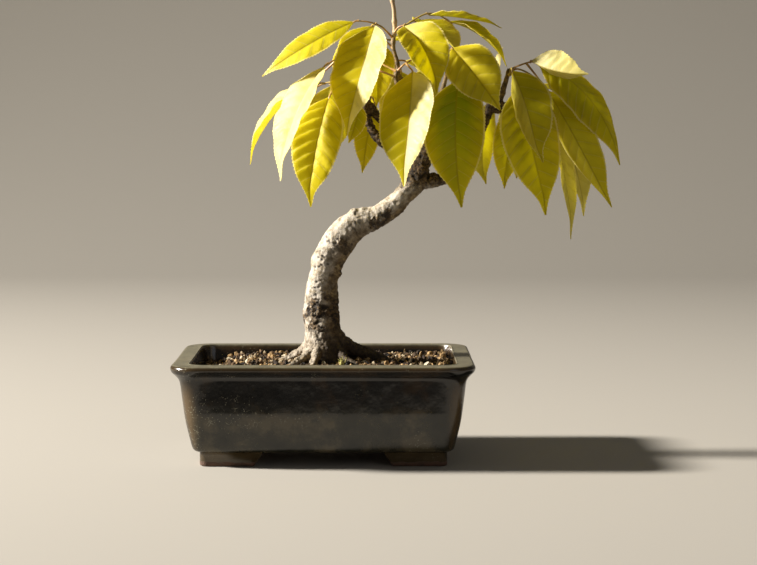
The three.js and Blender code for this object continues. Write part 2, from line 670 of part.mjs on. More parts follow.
const woodHole = woodSolid(SEAT_GAP);
addPiece("pot", makePot(), glazedStoneware);
addPiece("drain_mesh_left", makeDrainMesh(-1), nylonMesh);
addPiece("drain_mesh_right", makeDrainMesh(1), nylonMesh);
addPiece("soil", makeSoil(woodHole), soilGrit);
addPiece("trunk_and_branches", mainBody(woodSolid()), ashBark);
for (const [name, leaf] of Object.entries(LEAVES)) addPiece(name, makeLeaf(leaf, woodHole), ashLeaf);

export default bonsai;
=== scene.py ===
# An ash grown as a bonsai, in its rectangular glazed pot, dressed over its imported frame.
import math

import bmesh
import bpy
import numpy as np
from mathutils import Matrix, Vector, kdtree, noise


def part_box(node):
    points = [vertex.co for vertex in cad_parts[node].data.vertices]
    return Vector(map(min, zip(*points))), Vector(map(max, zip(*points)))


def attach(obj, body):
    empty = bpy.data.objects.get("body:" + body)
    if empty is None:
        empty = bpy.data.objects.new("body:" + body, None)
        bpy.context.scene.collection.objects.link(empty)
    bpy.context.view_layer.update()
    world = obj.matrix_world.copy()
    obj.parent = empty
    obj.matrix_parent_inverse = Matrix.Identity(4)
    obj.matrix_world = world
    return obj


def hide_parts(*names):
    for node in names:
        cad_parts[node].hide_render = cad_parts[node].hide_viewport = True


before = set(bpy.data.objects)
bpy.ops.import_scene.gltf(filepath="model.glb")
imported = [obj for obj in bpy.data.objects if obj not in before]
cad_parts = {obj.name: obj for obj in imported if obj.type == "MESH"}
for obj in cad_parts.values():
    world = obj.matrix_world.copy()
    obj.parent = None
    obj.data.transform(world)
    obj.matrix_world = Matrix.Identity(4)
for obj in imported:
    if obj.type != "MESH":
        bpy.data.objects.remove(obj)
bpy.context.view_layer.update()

# The pot is stoneware, pressed in a mould and fired: walls that taper to a floor on four bracket feet, a
# coved neck and a broad rolled lip. One dark glaze covers all but the undersides of its floor and feet.
MILLIMETRE = 0.001
POT_CORNER = 22.5
CORNER_TIGHTENS = 0.75
TIGHTEST_CORNER = 5
WALL_STEPS = 5
FOOT_INSET = 22
FOOT_HEIGHT = 11
FOOT_THICKNESS = 12
FOOT_RUN_LONG = 50
FOOT_RUN_SHORT = 38
FOOT_SLANT = 7
FLOOR_TOP = 19
DRAIN_RADIUS = 10
DRAIN_SPACING = 104
GLAZE_LINE = 3.4
GLAZE_RAGGED = 3
WALL_WANDER = 0.4
WANDER_SIZE = 60
# Heights between which the glaze changes: pooled under the neck, dusty on top of the lip, and worn thin
# on the lip and the corners; the feet are painted lighter, as painted light
GLAZE_POOLS = (56, 34)
LIP_DUST = (80.4, 81.3)
LIP_WEARS = (76.5, 79)
LIP_TOP = (82, 80.6)
CORNERS_WEAR = (74, 50)
FEET_PAINTED_LIGHT = (12.5, 10.5)

pot_low, pot_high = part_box("pot")
POT_LENGTH = (pot_high[0] - pot_low[0]) / MILLIMETRE
POT_WIDTH = (pot_high[1] - pot_low[1]) / MILLIMETRE
POT_MIDDLE = (pot_high[0] + pot_low[0]) / 2 / MILLIMETRE

# Pot wall, outside then inside, as (inset from the rim's outer edge, height)
POT_OUTSIDE = [
    (21.3, 11), (16.9, 13.6), (14.3, 22), (11.5, 34), (10.2, 42), (8.4, 57), (7.3, 66), (6, 69.8),
    (3.2, 73.2), (1, 75.4), (0, 78.2), (0.5, 80.1), (1.9, 81.2), (3.6, 81.4),
]
POT_INSIDE = [(13.4, 81.4), (14.6, 80.9), (16.6, 72), (19, 50), (21.5, 28), (24.5, 21), (28, 19)]
# The front and back walls stand upright under the neck, as (height, inset)
LONG_WALL = [
    (42, 10.2), (52, 10.5), (62, 10.8), (70, 10.9), (71.5, 10.2), (73, 8.8), (74.6, 6.6), (76, 4),
    (77, 1.8), (78.2, 0),
]
# How far from the pot's ends, then out from its middle, that line sets in
LONG_WALL_ENDS = (12, 30)
LONG_WALL_FACES = (70, 73)


def place(points):
    """Points in millimetres about the middle of the pot, as metres in the frame."""
    return (np.asarray(points, float) + (POT_MIDDLE, 0, 0)) * MILLIMETRE


def smooth_line(points, per_span):
    """A smooth line through points, with per_span steps from each to the next."""
    p = np.asarray(points, float)
    p = np.vstack([2 * p[0] - p[1], p, 2 * p[-1] - p[-2]])
    u = np.linspace(0, 1, per_span, endpoint=False)[:, None]
    spans = [
        0.5 * (2 * b + (c - a) * u + (2 * a - 5 * b + 4 * c - d) * u**2 + (3 * b - a - 3 * c + d) * u**3)
        for a, b, c, d in zip(p, p[1:], p[2:], p[3:])
    ]
    return np.vstack([*spans, p[-2]])


def pot_ring(inset, z, corner_steps=14, long_steps=26, short_steps=18):
    """One rounded rectangle of the pot at an inset from the rim, the corners softening as it narrows."""
    radius = max(POT_CORNER - CORNER_TIGHTENS * inset, TIGHTEST_CORNER)
    half_x = POT_LENGTH / 2 - inset - radius
    half_y = POT_WIDTH / 2 - inset - radius
    corners = [(half_x, half_y), (-half_x, half_y), (-half_x, -half_y), (half_x, -half_y)]
    arcs = []
    for quarter, (x, y) in enumerate(corners):
        angle = (quarter + np.linspace(0, 1, corner_steps + 1)) * math.pi / 2
        arcs.append(np.stack([x + radius * np.cos(angle), y + radius * np.sin(angle)], 1))
    ring = []
    for quarter, arc in enumerate(arcs):
        steps = (long_steps, short_steps)[quarter % 2]
        share = np.arange(1, steps)[:, None] / steps
        ring += [arc, arc[-1] + (arcs[(quarter + 1) % 4][0] - arc[-1]) * share]
    flat = np.vstack(ring)
    return np.column_stack([flat, np.full(len(flat), float(z))])


def loft(rings):
    """Points and faces of a closed skin over rings."""
    count = len(rings[0])
    faces = []
    for start in range(0, (len(rings) - 1) * count, count):
        for i in range(count):
            a, b = start + i, start + (i + 1) % count
            faces.append((a, b, b + count, a + count))
    faces.append(tuple(reversed(range(count))))
    faces.append(tuple(range((len(rings) - 1) * count, len(rings) * count)))
    return np.vstack(rings), faces


def new_piece(name, points, faces, sharp_over=40):
    """A mesh object from points in millimetres, its faces turned out and smooth up to sharper edges."""
    mesh = bpy.data.meshes.new(name)
    mesh.from_pydata(place(points).tolist(), [], faces)
    work = bmesh.new()
    work.from_mesh(mesh)
    bmesh.ops.recalc_face_normals(work, faces=work.faces)
    work.to_mesh(mesh)
    work.free()
    mesh.shade_smooth()
    mesh.set_sharp_from_angle(angle=math.radians(sharp_over))
    piece = bpy.data.objects.new(name, mesh)
    bpy.context.scene.collection.objects.link(piece)
    return piece


def apply_modifiers(piece):
    """Turns what a piece's modifiers make into its plain mesh, and removes them."""
    bpy.context.view_layer.update()
    made = bpy.data.meshes.new_from_object(piece.evaluated_get(bpy.context.evaluated_depsgraph_get()))
    piece.modifiers.clear()
    piece.data = made


def combine(piece, other, operation):
    """Joins or cuts a piece by another, which is used up."""
    boolean = piece.modifiers.new(operation, "BOOLEAN")
    boolean.operation = operation
    boolean.solver = "MANIFOLD"
    boolean.object = other
    apply_modifiers(piece)
    bpy.data.objects.remove(other)


def foot_span(half, depth, turn):
    """The air under the pot between two feet, as a bar with curved sides."""
    side = [(half + FOOT_SLANT + 1, -1)]
    for share in np.linspace(0, 1, 9)[1:]:
        out = (1 - share) ** 2 * (FOOT_SLANT + 1) + 2 * share * (1 - share)
        up = -((1 - share) ** 2) + 2 * share * (1 - share) * (FOOT_HEIGHT - 3) + share**2 * FOOT_HEIGHT
        side.append((half + out, up))
    side.append((half, FOOT_HEIGHT + 2))
    outline = side + [(-x, z) for x, z in reversed(side)]
    rings = []
    for end in (-depth / 2, depth / 2):
        flat = np.array([(x, end, z) for x, z in outline])
        if turn:
            flat = flat[:, [1, 0, 2]]
        rings.append(flat)
    return loft(rings)


outside = smooth_line(POT_OUTSIDE, WALL_STEPS)
wall = np.vstack([outside, smooth_line(POT_INSIDE, WALL_STEPS)])
pot = new_piece("glazed_pot", *loft([pot_ring(inset, z) for inset, z in wall]), sharp_over=28)
# The feet start as one hollow ring under the floor, and a span of air each way parts it in four
foot_edge = [(1.4, 0), (0.5, 0.35), (0.1, 1.1), (0, 2.2), (0, FOOT_HEIGHT + 1)]
feet = new_piece("feet", *loft([pot_ring(FOOT_INSET + inset, z) for inset, z in foot_edge]))
inner = [pot_ring(FOOT_INSET + FOOT_THICKNESS, z) for z in (-1, FOOT_HEIGHT + 2)]
combine(feet, new_piece("inside", *loft(inner)), "DIFFERENCE")
long_span = POT_LENGTH / 2 - FOOT_INSET - FOOT_RUN_LONG
short_span = POT_WIDTH / 2 - FOOT_INSET - FOOT_RUN_SHORT
combine(feet, new_piece("span", *foot_span(long_span, POT_WIDTH + 20, False)), "DIFFERENCE")
combine(feet, new_piece("span", *foot_span(short_span, POT_LENGTH + 20, True)), "DIFFERENCE")
combine(pot, feet, "UNION")
for side in (-1, 1):
    angle = np.linspace(0, 2 * math.pi, 40, endpoint=False)
    x = side * DRAIN_SPACING / 2 + DRAIN_RADIUS * np.cos(angle)
    y = DRAIN_RADIUS * np.sin(angle)
    hole = [np.column_stack([x, y, np.full(len(angle), z)]) for z in (0.0, 2.0 * FLOOR_TOP)]
    combine(pot, new_piece("hole", *loft(hole)), "DIFFERENCE")


def smoothstep(low, high, value):
    """0 at low, 1 at high and a smooth change between them."""
    share = np.clip((value - low) / (high - low), 0, 1)
    return share * share * (3 - 2 * share)


def mesh_vectors(mesh, what):
    """A mesh's point places, in millimetres about the middle of the pot, or its point normals."""
    flat = np.empty(len(mesh.vertices) * 3)
    mesh.vertices.foreach_get(what, flat)
    flat = flat.reshape(-1, 3)
    return flat / MILLIMETRE - (POT_MIDDLE, 0, 0) if what == "co" else flat


def move_points(mesh, points):
    """Puts a mesh's points at these places, in millimetres about the middle of the pot."""
    mesh.vertices.foreach_set("co", place(points).ravel())
    mesh.update()


def store(mesh, name, values):
    """Keeps one number, or one vector, for each point of a mesh, for its material to read."""
    values = np.asarray(values, float)
    is_vector = values.ndim == 2
    attribute = mesh.attributes.new(name, "FLOAT_VECTOR" if is_vector else "FLOAT", "POINT")
    attribute.data.foreach_set("vector" if is_vector else "value", values.ravel())


def fractal(points, size, octaves=3):
    """Fractal noise of about -1 to 1 at points, its largest lumps about size millimetres across."""
    points = np.asarray(points, float) / size
    return np.array([noise.fractal(Vector(p), 1.0, 2.0, octaves) for p in points])


# The walls wander a little, as pressed clay does, and the long walls are drawn in to their own line
at = mesh_vectors(pot.data, "co")
height = at[:, 2]
half_size = np.array((POT_LENGTH / 2, POT_WIDTH / 2))
outward = at * (1, 1, 0)
outward /= np.maximum(np.linalg.norm(outward, axis=1), 1)[:, None]
above_feet = smoothstep(FOOT_HEIGHT + 0.5, 2 * FOOT_HEIGHT, height)
wander = WALL_WANDER * fractal(at, WANDER_SIZE, 2) * above_feet
upright = np.interp(height, *zip(*LONG_WALL)) - np.interp(height, outside[:, 1], outside[:, 0])
upright *= smoothstep(*LONG_WALL_ENDS, POT_LENGTH / 2 - np.abs(at[:, 0]))
upright *= smoothstep(*LONG_WALL_FACES, np.abs(at[:, 1]))
upright *= (height > LONG_WALL[0][0]) * (height < LONG_WALL[-1][0])
drawn_in = np.outer(np.sign(at[:, 1]) * upright, (0, 1, 0))
move_points(pot.data, at + outward * wander[:, None] - drawn_in)
# Where the glaze is thin, pooled, dusty, or was never laid under the floor, and where the feet are
# painted lighter as light on them
to_corner = np.abs(at[:, :2]) - (half_size - POT_CORNER)
under_floor = np.abs(at[:, :2]) - (half_size - FOOT_INSET - 2)
corners = 0.7 * smoothstep(-2, 8, to_corner.min(1)) * smoothstep(*CORNERS_WEAR, height)
lip = 0.35 * smoothstep(*LIP_WEARS, height) * smoothstep(*LIP_TOP, height)
# Painted light: the feet get half the thin glaze's brown, so they look lit where the pot's overhang
# shades them
feet_painted_light = 0.5 * smoothstep(*FEET_PAINTED_LIGHT, height)
store(pot.data, "bare", (height < FOOT_HEIGHT + 0.2) * (under_floor.max(1) < 0))
store(pot.data, "thin_glaze_and_lit_feet", np.maximum.reduce([corners, lip, feet_painted_light]))
store(pot.data, "pooled", smoothstep(*GLAZE_POOLS, height))
store(pot.data, "dust", smoothstep(*LIP_DUST, height))


def linear(code):
    """An sRGB hex colour as linear values with alpha."""
    channels = [int(code[i : i + 2], 16) / 255 for i in (1, 3, 5)]
    return (*(c / 12.92 if c <= 0.04045 else ((c + 0.055) / 1.055) ** 2.4 for c in channels), 1)


def add(tree, kind, inputs=None, stops=None, **settings):
    """Adds a node: its settings, the values or links of its inputs, and a ramp's colour stops. A node
    given for an input is linked by its first output."""
    node = tree.nodes.new(kind)
    for key, value in settings.items():
        setattr(node, key, value)
    for key, value in (inputs or {}).items():
        if isinstance(value, bpy.types.Node):
            value = value.outputs[0]
        if isinstance(value, bpy.types.NodeSocket):
            tree.links.new(value, node.inputs[key])
        else:
            node.inputs[key].default_value = value
    if stops:
        ramp = node.color_ramp.elements
        while len(ramp) < len(stops):
            ramp.new(1)
        for element, (position, code) in zip(ramp, stops):
            element.position = position
            element.color = linear(code)
    return node


def new_material(name, build):
    """A material whose surface is the shader that build makes in its empty tree."""
    material = bpy.data.materials.new(name)
    material.use_nodes = True
    material.node_tree.nodes.clear()
    add(material.node_tree, "ShaderNodeOutputMaterial", {"Surface": build(material.node_tree)})
    return material


def glazed_stoneware(tree):
    """Dark iron glaze fired glossy on stoneware: near black on the upper wall, olive and clouded where
    it has run down and pooled, brown where it thins at lip and corners, and brown on the feet as painted
    light. Pale specks and hairline crazing come in clusters, and a faint swell breaks up the
    reflections.
    Brown clay is bare at the foot, its grain drawn coarse enough to show."""
    place_at = add(tree, "ShaderNodeTexCoord").outputs["Object"]
    cloud = add(tree, "ShaderNodeTexNoise", {
        "Vector": place_at, "Scale": 1000 / 24, "Detail": 5.0, "Roughness": 0.6,
    })
    black = add(tree, "ShaderNodeValToRGB", {"Fac": cloud}, stops=[
        (0.38, "#080704"), (0.52, "#120e08"), (0.64, "#2c2012"),
    ])
    olive = add(tree, "ShaderNodeValToRGB", {"Fac": cloud}, stops=[
        (0.36, "#11120b"), (0.5, "#28261c"), (0.62, "#474030"),
    ])
    pooled, thin, dust, bare = (
        add(tree, "ShaderNodeAttribute", attribute_name=name).outputs["Fac"]
        for name in ("pooled", "thin_glaze_and_lit_feet", "dust", "bare")
    )
    specks = add(tree, "ShaderNodeTexVoronoi", {"Vector": place_at, "Scale": 1000 / 2.6})
    small = add(tree, "ShaderNodeMath", {0: specks, 1: 0.17}, operation="LESS_THAN")
    bent = add(tree, "ShaderNodeVectorMath", {
        0: cloud.outputs["Color"], 1: (0.012, 0.012, 0.012), 2: place_at,
    }, operation="MULTIPLY_ADD")
    crazing = add(tree, "ShaderNodeTexVoronoi", {
        "Vector": bent, "Scale": 1000 / 6,
    }, feature="DISTANCE_TO_EDGE")
    film = add(tree, "ShaderNodeTexNoise", {
        "Vector": place_at, "Scale": 1000 / 7, "Detail": 6.0, "Roughness": 0.7,
    })
    broken = add(tree, "ShaderNodeMapRange", {
        "Value": film, "From Min": 0.52, "From Max": 0.64, "To Max": 0.03,
    })
    hairline = add(tree, "ShaderNodeMath", {0: crazing, 1: broken}, operation="LESS_THAN")
    fine = add(tree, "ShaderNodeMath", {0: small, 1: hairline}, operation="MAXIMUM")
    spot = add(tree, "ShaderNodeSeparateXYZ", {0: place_at})
    leftward = add(tree, "ShaderNodeMapRange", {
        "Value": spot.outputs["X"], "From Min": 0.02, "From Max": -0.16, "To Min": -0.05, "To Max": 0.06,
    })
    region = add(tree, "ShaderNodeTexNoise", {"Vector": place_at, "Scale": 1000 / 26, "Detail": 3.0})
    likely = add(tree, "ShaderNodeMath", {0: region, 1: leftward}, operation="ADD")
    clustered = add(tree, "ShaderNodeMapRange", {
        "Value": likely, "From Min": 0.54, "From Max": 0.66, "To Max": 0.65,
    })
    speck = add(tree, "ShaderNodeMath", {0: fine, 1: clustered}, operation="MULTIPLY")
    dusty = add(tree, "ShaderNodeMath", {0: dust, 1: film}, operation="MULTIPLY")
    edge = add(tree, "ShaderNodeTexNoise", {"Vector": place_at, "Scale": 1000 / 9, "Detail": 4.0})
    ragged = add(tree, "ShaderNodeMath", {
        0: edge, 1: GLAZE_RAGGED * MILLIMETRE, 2: spot.outputs["Z"],
    }, operation="MULTIPLY_ADD")
    foot = add(tree, "ShaderNodeMapRange", {
        "Value": ragged, "From Min": (GLAZE_LINE + 1.2) * MILLIMETRE,
        "From Max": (GLAZE_LINE + 1.9) * MILLIMETRE, "To Min": 1.0, "To Max": 0.0,
    })
    unglazed = add(tree, "ShaderNodeMath", {0: foot, 1: bare}, operation="MAXIMUM")
    clay = add(tree, "ShaderNodeValToRGB", {"Fac": film}, stops=[(0.3, "#3f2e22"), (0.7, "#6b4d3a")])
    colour = black
    # The thin glaze share also paints the feet lighter, as painted light
    for share, over in (
        (pooled, olive), (thin, linear("#54432a")), (speck, linear("#85826f")),
        (dusty, linear("#807c66")), (unglazed, clay),
    ):
        colour = add(tree, "ShaderNodeMixRGB", {"Fac": share, "Color1": colour, "Color2": over})
    gloss = add(tree, "ShaderNodeMapRange", {"Value": film, "To Min": 0.08, "To Max": 0.3})
    dulled = add(tree, "ShaderNodeMath", {0: dust, 1: 0.3, 2: gloss}, operation="MULTIPLY_ADD")
    rough = add(tree, "ShaderNodeMath", {0: unglazed, 1: 0.62, 2: dulled}, operation="MULTIPLY_ADD")
    swell = add(tree, "ShaderNodeTexNoise", {"Vector": place_at, "Scale": 1000 / 18, "Detail": 3.0})
    waves = add(tree, "ShaderNodeBump", {"Height": swell, "Strength": 0.5, "Distance": 0.0012})
    pores = add(tree, "ShaderNodeTexNoise", {"Vector": place_at, "Scale": 1000 / 1.2, "Detail": 3.0})
    grain = add(tree, "ShaderNodeBump", {
        "Height": pores, "Strength": unglazed, "Distance": 0.0004, "Normal": waves,
    })
    return add(tree, "ShaderNodeBsdfPrincipled", {
        "Base Color": colour, "Roughness": rough, "IOR": 1.55, "Normal": grain,
    })


pot.data.materials.clear()
pot.data.materials.append(new_material("dark_iron_glazed_stoneware", glazed_stoneware))
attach(pot, "root")
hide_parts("pot")

# A square of black polypropylene mesh lies over each drain hole and keeps the grit in. It is moulded in
# one sheet, with square openings of about 3 mm, and shows only from below, through the holes.
MESH_SIZE = 34
MESH_THICKNESS = 1.2
MESH_BARS = 9
MESH_BAR = 1.1


def new_tree(name, sockets):
    """A geometry node tree with these input sockets, and the outputs of its input node."""
    tree = bpy.data.node_groups.new(name, "GeometryNodeTree")
    tree.interface.new_socket("Geometry", in_out="INPUT", socket_type="NodeSocketGeometry")
    for socket, kind in sockets.items():
        tree.interface.new_socket(socket, in_out="INPUT", socket_type="NodeSocket" + kind)
    tree.interface.new_socket("Geometry", in_out="OUTPUT", socket_type="NodeSocketGeometry")
    return tree, add(tree, "NodeGroupInput").outputs


def grow(piece, tree, values):
    """Lets a geometry node tree make a piece's mesh, each named input set by its socket's identifier."""
    modifier = piece.modifiers.new(tree.name, "NODES")
    modifier.node_group = tree
    for item in tree.interface.items_tree:
        if item.in_out == "INPUT" and item.name in values:
            modifier[item.identifier] = values[item.name]
    apply_modifiers(piece)


def moulded_plastic(tree):
    """Black polypropylene, moulded matt, a little greyed by lime and dust."""
    place_at = add(tree, "ShaderNodeTexCoord").outputs["Object"]
    wear = add(tree, "ShaderNodeTexNoise", {"Vector": place_at, "Scale": 1000 / 3, "Detail": 3.0})
    tone = add(tree, "ShaderNodeValToRGB", {"Fac": wear}, stops=[(0.35, "#151716"), (0.7, "#2b2c29")])
    return add(tree, "ShaderNodeBsdfPrincipled", {"Base Color": tone, "Roughness": 0.55})


plastic = new_material("black_moulded_polypropylene", moulded_plastic)
# The sheet is a row of bars, and the same row turned across it
sheet_tree, given = new_tree("moulded_square_mesh", {
    "Bars": "Int", "Pitch": "Float", "Bar Size": "Vector", "Start": "Vector", "Material": "Material",
})
bar = add(sheet_tree, "GeometryNodeMeshCube", {"Size": given["Bar Size"]})
step = add(sheet_tree, "ShaderNodeCombineXYZ", {0: given["Pitch"]})
spots = add(sheet_tree, "GeometryNodeMeshLine", {
    "Count": given["Bars"], "Start Location": given["Start"], "Offset": step,
})
rows = add(sheet_tree, "GeometryNodeInstanceOnPoints", {"Points": spots, "Instance": bar})
columns = add(sheet_tree, "GeometryNodeTransform", {"Geometry": rows, "Rotation": (0, 0, math.pi / 2)})
lattice = add(sheet_tree, "GeometryNodeJoinGeometry", {0: rows})
sheet_tree.links.new(columns.outputs[0], lattice.inputs[0])
laid = add(sheet_tree, "GeometryNodeInstanceOnPoints", {
    "Points": given["Geometry"], "Instance": lattice,
})
solid = add(sheet_tree, "GeometryNodeRealizeInstances", {"Geometry": laid})
painted = add(sheet_tree, "GeometryNodeSetMaterial", {"Geometry": solid, "Material": given["Material"]})
add(sheet_tree, "NodeGroupOutput", {0: painted})

for node in ("drain_mesh_left", "drain_mesh_right"):
    low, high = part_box(node)
    middle = [(a + b) / 2 / MILLIMETRE for a, b in zip(low, high)]
    sheet = new_piece(node + "_sheet", [(middle[0] - POT_MIDDLE, middle[1], middle[2])], [])
    pitch = (MESH_SIZE - MESH_BAR) / (MESH_BARS - 1)
    grow(sheet, sheet_tree, {
        "Bars": MESH_BARS, "Pitch": pitch * MILLIMETRE, "Material": plastic,
        "Bar Size": [MESH_BAR * MILLIMETRE, MESH_SIZE * MILLIMETRE, MESH_THICKNESS * MILLIMETRE],
        "Start": [(MESH_BAR - MESH_SIZE) / 2 * MILLIMETRE, 0.0, 0.0],
    })
    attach(sheet, "root")
    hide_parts(node)

# The soil is loose grit. It fills the pot to a few millimetres under its lip, falls away to the left end
# and rises to the trunk. Under the grains that show lies one closed bed of the same grit, brown with its
# own dust and damp, and painted darker still as the shade between the grains.
SOIL_EDGE = 74
SOIL_INSET = 16.4
SOIL_MOUND = 3
# Spread of the mound along and across the pot, in square millimetres
MOUND_SPREAD = (2600, 1500)
SOIL_FALL = 7
FALL_FROM = -62
FALL_TO = -100
SEAT_GAP = 0.35
BED_SINK = 1.6
BED_SHOULDER = 6
BED_LUMPS = 0.8
BED_LUMP_SIZE = 5
BED_RINGS = 46


def soil_height(x, y):
    """Height of the grit at a place, before its grains."""
    mound = SOIL_MOUND * np.exp(-(x * x) / MOUND_SPREAD[0] - (y * y) / MOUND_SPREAD[1])
    return SOIL_EDGE + mound - SOIL_FALL * smoothstep(FALL_FROM, FALL_TO, x)


against_wall = smooth_line(POT_INSIDE, 3)[::-1]
bed_top = SOIL_EDGE - BED_SHOULDER
bed_rings = [pot_ring(inset + SEAT_GAP, z + SEAT_GAP) for inset, z in against_wall if z < bed_top]
edge_ring = pot_ring(SOIL_INSET + SEAT_GAP, SOIL_EDGE)
for share in np.linspace(1, 0.01, BED_RINGS):
    ring = edge_ring * (share, share, 1)
    lumps = BED_LUMPS * fractal(ring * (1, 1, 0), BED_LUMP_SIZE)
    ring[:, 2] = soil_height(ring[:, 0], ring[:, 1]) - BED_SINK + lumps
    bed_rings.append(ring)
bed = new_piece("soil_bed", *loft(bed_rings), sharp_over=70)


def damp_fines_and_painted_shade(tree):
    """Damp dust of broken baked clay between the grains, painted darker still, near black, as the shade
    that falls between them.
    """
    place_at = add(tree, "ShaderNodeTexCoord").outputs["Object"]
    crumbs = add(tree, "ShaderNodeTexVoronoi", {"Vector": place_at, "Scale": 1000 / 1.6})
    # Painted shade: the bed runs near black, as the shade between the grains
    tone = add(tree, "ShaderNodeValToRGB", {"Fac": crumbs.outputs["Color"]}, stops=[
        (0.0, "#120b06"), (0.6, "#2a1b11"), (1.0, "#4a3421"),
    ])
    lumps = add(tree, "ShaderNodeBump", {"Height": crumbs, "Strength": 0.8, "Distance": 0.001})
    return add(tree, "ShaderNodeBsdfPrincipled", {
        "Base Color": tone, "Roughness": 0.95, "Normal": lumps,
    })


bed.data.materials.append(new_material("damp_clay_dust_and_painted_shade", damp_fines_and_painted_shade))
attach(bed, "root")
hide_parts("soil")

# The grit is crushed and sieved baked clay, with pumice and lava rock: chips of 2 to 7 mm, no two of one
# shape, poured in round the roots. Each kind is one piece, its chips strewn over the bed and half sunk.
GRAIN_SPACING = 3.9
GRAIN_HEAVE = (0.6, 0.6, 1.6)
GRAIN_BROKEN = 4
SMALLEST_CHIP = (1.4, 1.1, 0.9)
LARGEST_CHIP = (3.6, 2.6, 2)
STREWN_RINGS = 26

rings = [edge_ring * (share, share, 1) for share in np.linspace(0.98, 0.03, STREWN_RINGS)]
for ring in rings:
    ring[:, 2] = soil_height(ring[:, 0], ring[:, 1])
strewn_points, strewn_faces = loft(rings)
# The strewn surface is open below, or chips would lie on its underside too
del strewn_faces[-2]


def chipped_stone(dark, middle, pale):
    """Crushed porous stone or baked clay: dull, pitted, dusty, each chip mottled about its own tone."""
    def build(tree):
        place_at = add(tree, "ShaderNodeTexCoord").outputs["Object"]
        own = add(tree, "ShaderNodeAttribute", attribute_name="grain_tone").outputs["Fac"]
        mottle = add(tree, "ShaderNodeTexNoise", {
            "Vector": place_at, "Scale": 1000 / 1.5, "Detail": 4.0,
        })
        tone = add(tree, "ShaderNodeMath", {0: mottle, 1: 0.5, 2: own}, operation="MULTIPLY_ADD")
        shifted = add(tree, "ShaderNodeMath", {0: tone, 1: 0.25}, operation="SUBTRACT")
        colour = add(tree, "ShaderNodeValToRGB", {"Fac": shifted}, stops=[
            (0.1, dark), (0.5, middle), (0.9, pale),
        ])
        pits = add(tree, "ShaderNodeTexVoronoi", {"Vector": place_at, "Scale": 1000 / 0.6})
        relief = add(tree, "ShaderNodeBump", {"Height": pits, "Strength": 0.6, "Distance": 0.0004})
        return add(tree, "ShaderNodeBsdfPrincipled", {
            "Base Color": colour, "Roughness": 0.9, "Normal": relief,
        })
    return build


# Points are strewn over the surface, each kind of grit keeps its own share of them, and every point
# that is kept gets a chip, turned, sized and broken by chance
grit_tree, given = new_tree("strewn_grit", {
    "Spacing": "Float", "Seed": "Int", "From Share": "Float", "To Share": "Float",
    "Smallest": "Vector", "Largest": "Vector", "Detail": "Int", "Heave": "Vector",
    "Roughness": "Float", "Material": "Material",
})
strewn = add(grit_tree, "GeometryNodeDistributePointsOnFaces", {
    "Mesh": given["Geometry"], "Distance Min": given["Spacing"], "Density Max": 1e7,
    "Seed": given["Seed"],
}, distribute_method="POISSON")
lot = add(grit_tree, "FunctionNodeRandomValue", {"Seed": 11})
over = add(grit_tree, "FunctionNodeCompare", {
    0: lot.outputs[1], 1: given["From Share"],
}, operation="GREATER_EQUAL")
below = add(grit_tree, "FunctionNodeCompare", {
    0: lot.outputs[1], 1: given["To Share"],
}, operation="LESS_THAN")
of_kind = add(grit_tree, "FunctionNodeBooleanMath", {0: over, 1: below}, operation="AND")
sunk = add(grit_tree, "ShaderNodeVectorMath", {0: given["Heave"], "Scale": -1.0}, operation="SCALE")
heave = add(grit_tree, "FunctionNodeRandomValue", {
    "Min": sunk, "Max": given["Heave"], "Seed": 8,
}, data_type="FLOAT_VECTOR")
heaped = add(grit_tree, "GeometryNodeSetPosition", {"Geometry": strewn, "Offset": heave})
chip = add(grit_tree, "GeometryNodeMeshIcoSphere", {"Radius": 1.0, "Subdivisions": given["Detail"]})
turn = add(grit_tree, "FunctionNodeRandomValue", {
    "Max": (6.28, 6.28, 6.28), "Seed": 3,
}, data_type="FLOAT_VECTOR")
size = add(grit_tree, "FunctionNodeRandomValue", {
    "Min": given["Smallest"], "Max": given["Largest"], "Seed": 4,
}, data_type="FLOAT_VECTOR")
chips = add(grit_tree, "GeometryNodeInstanceOnPoints", {
    "Points": heaped, "Selection": of_kind, "Instance": chip,
    "Rotation": turn, "Scale": size,
})
own_tone = add(grit_tree, "FunctionNodeRandomValue", {"Seed": 5})
toned = add(grit_tree, "GeometryNodeStoreNamedAttribute", {
    "Geometry": chips, "Name": "grain_tone", "Value": own_tone.outputs[1],
}, domain="INSTANCE")
solid = add(grit_tree, "GeometryNodeRealizeInstances", {"Geometry": toned})
uneven = add(grit_tree, "ShaderNodeTexNoise", {"Scale": 1000 / 2.4, "Detail": 2.0})
centred = add(grit_tree, "ShaderNodeVectorMath", {
    0: uneven.outputs["Color"], 1: (0.5, 0.5, 0.5),
}, operation="SUBTRACT")
broken = add(grit_tree, "ShaderNodeVectorMath", {
    0: centred, "Scale": given["Roughness"],
}, operation="SCALE")
shaped = add(grit_tree, "GeometryNodeSetPosition", {"Geometry": solid, "Offset": broken})
painted = add(grit_tree, "GeometryNodeSetMaterial", {"Geometry": shaped, "Material": given["Material"]})
add(grit_tree, "NodeGroupOutput", {0: painted})

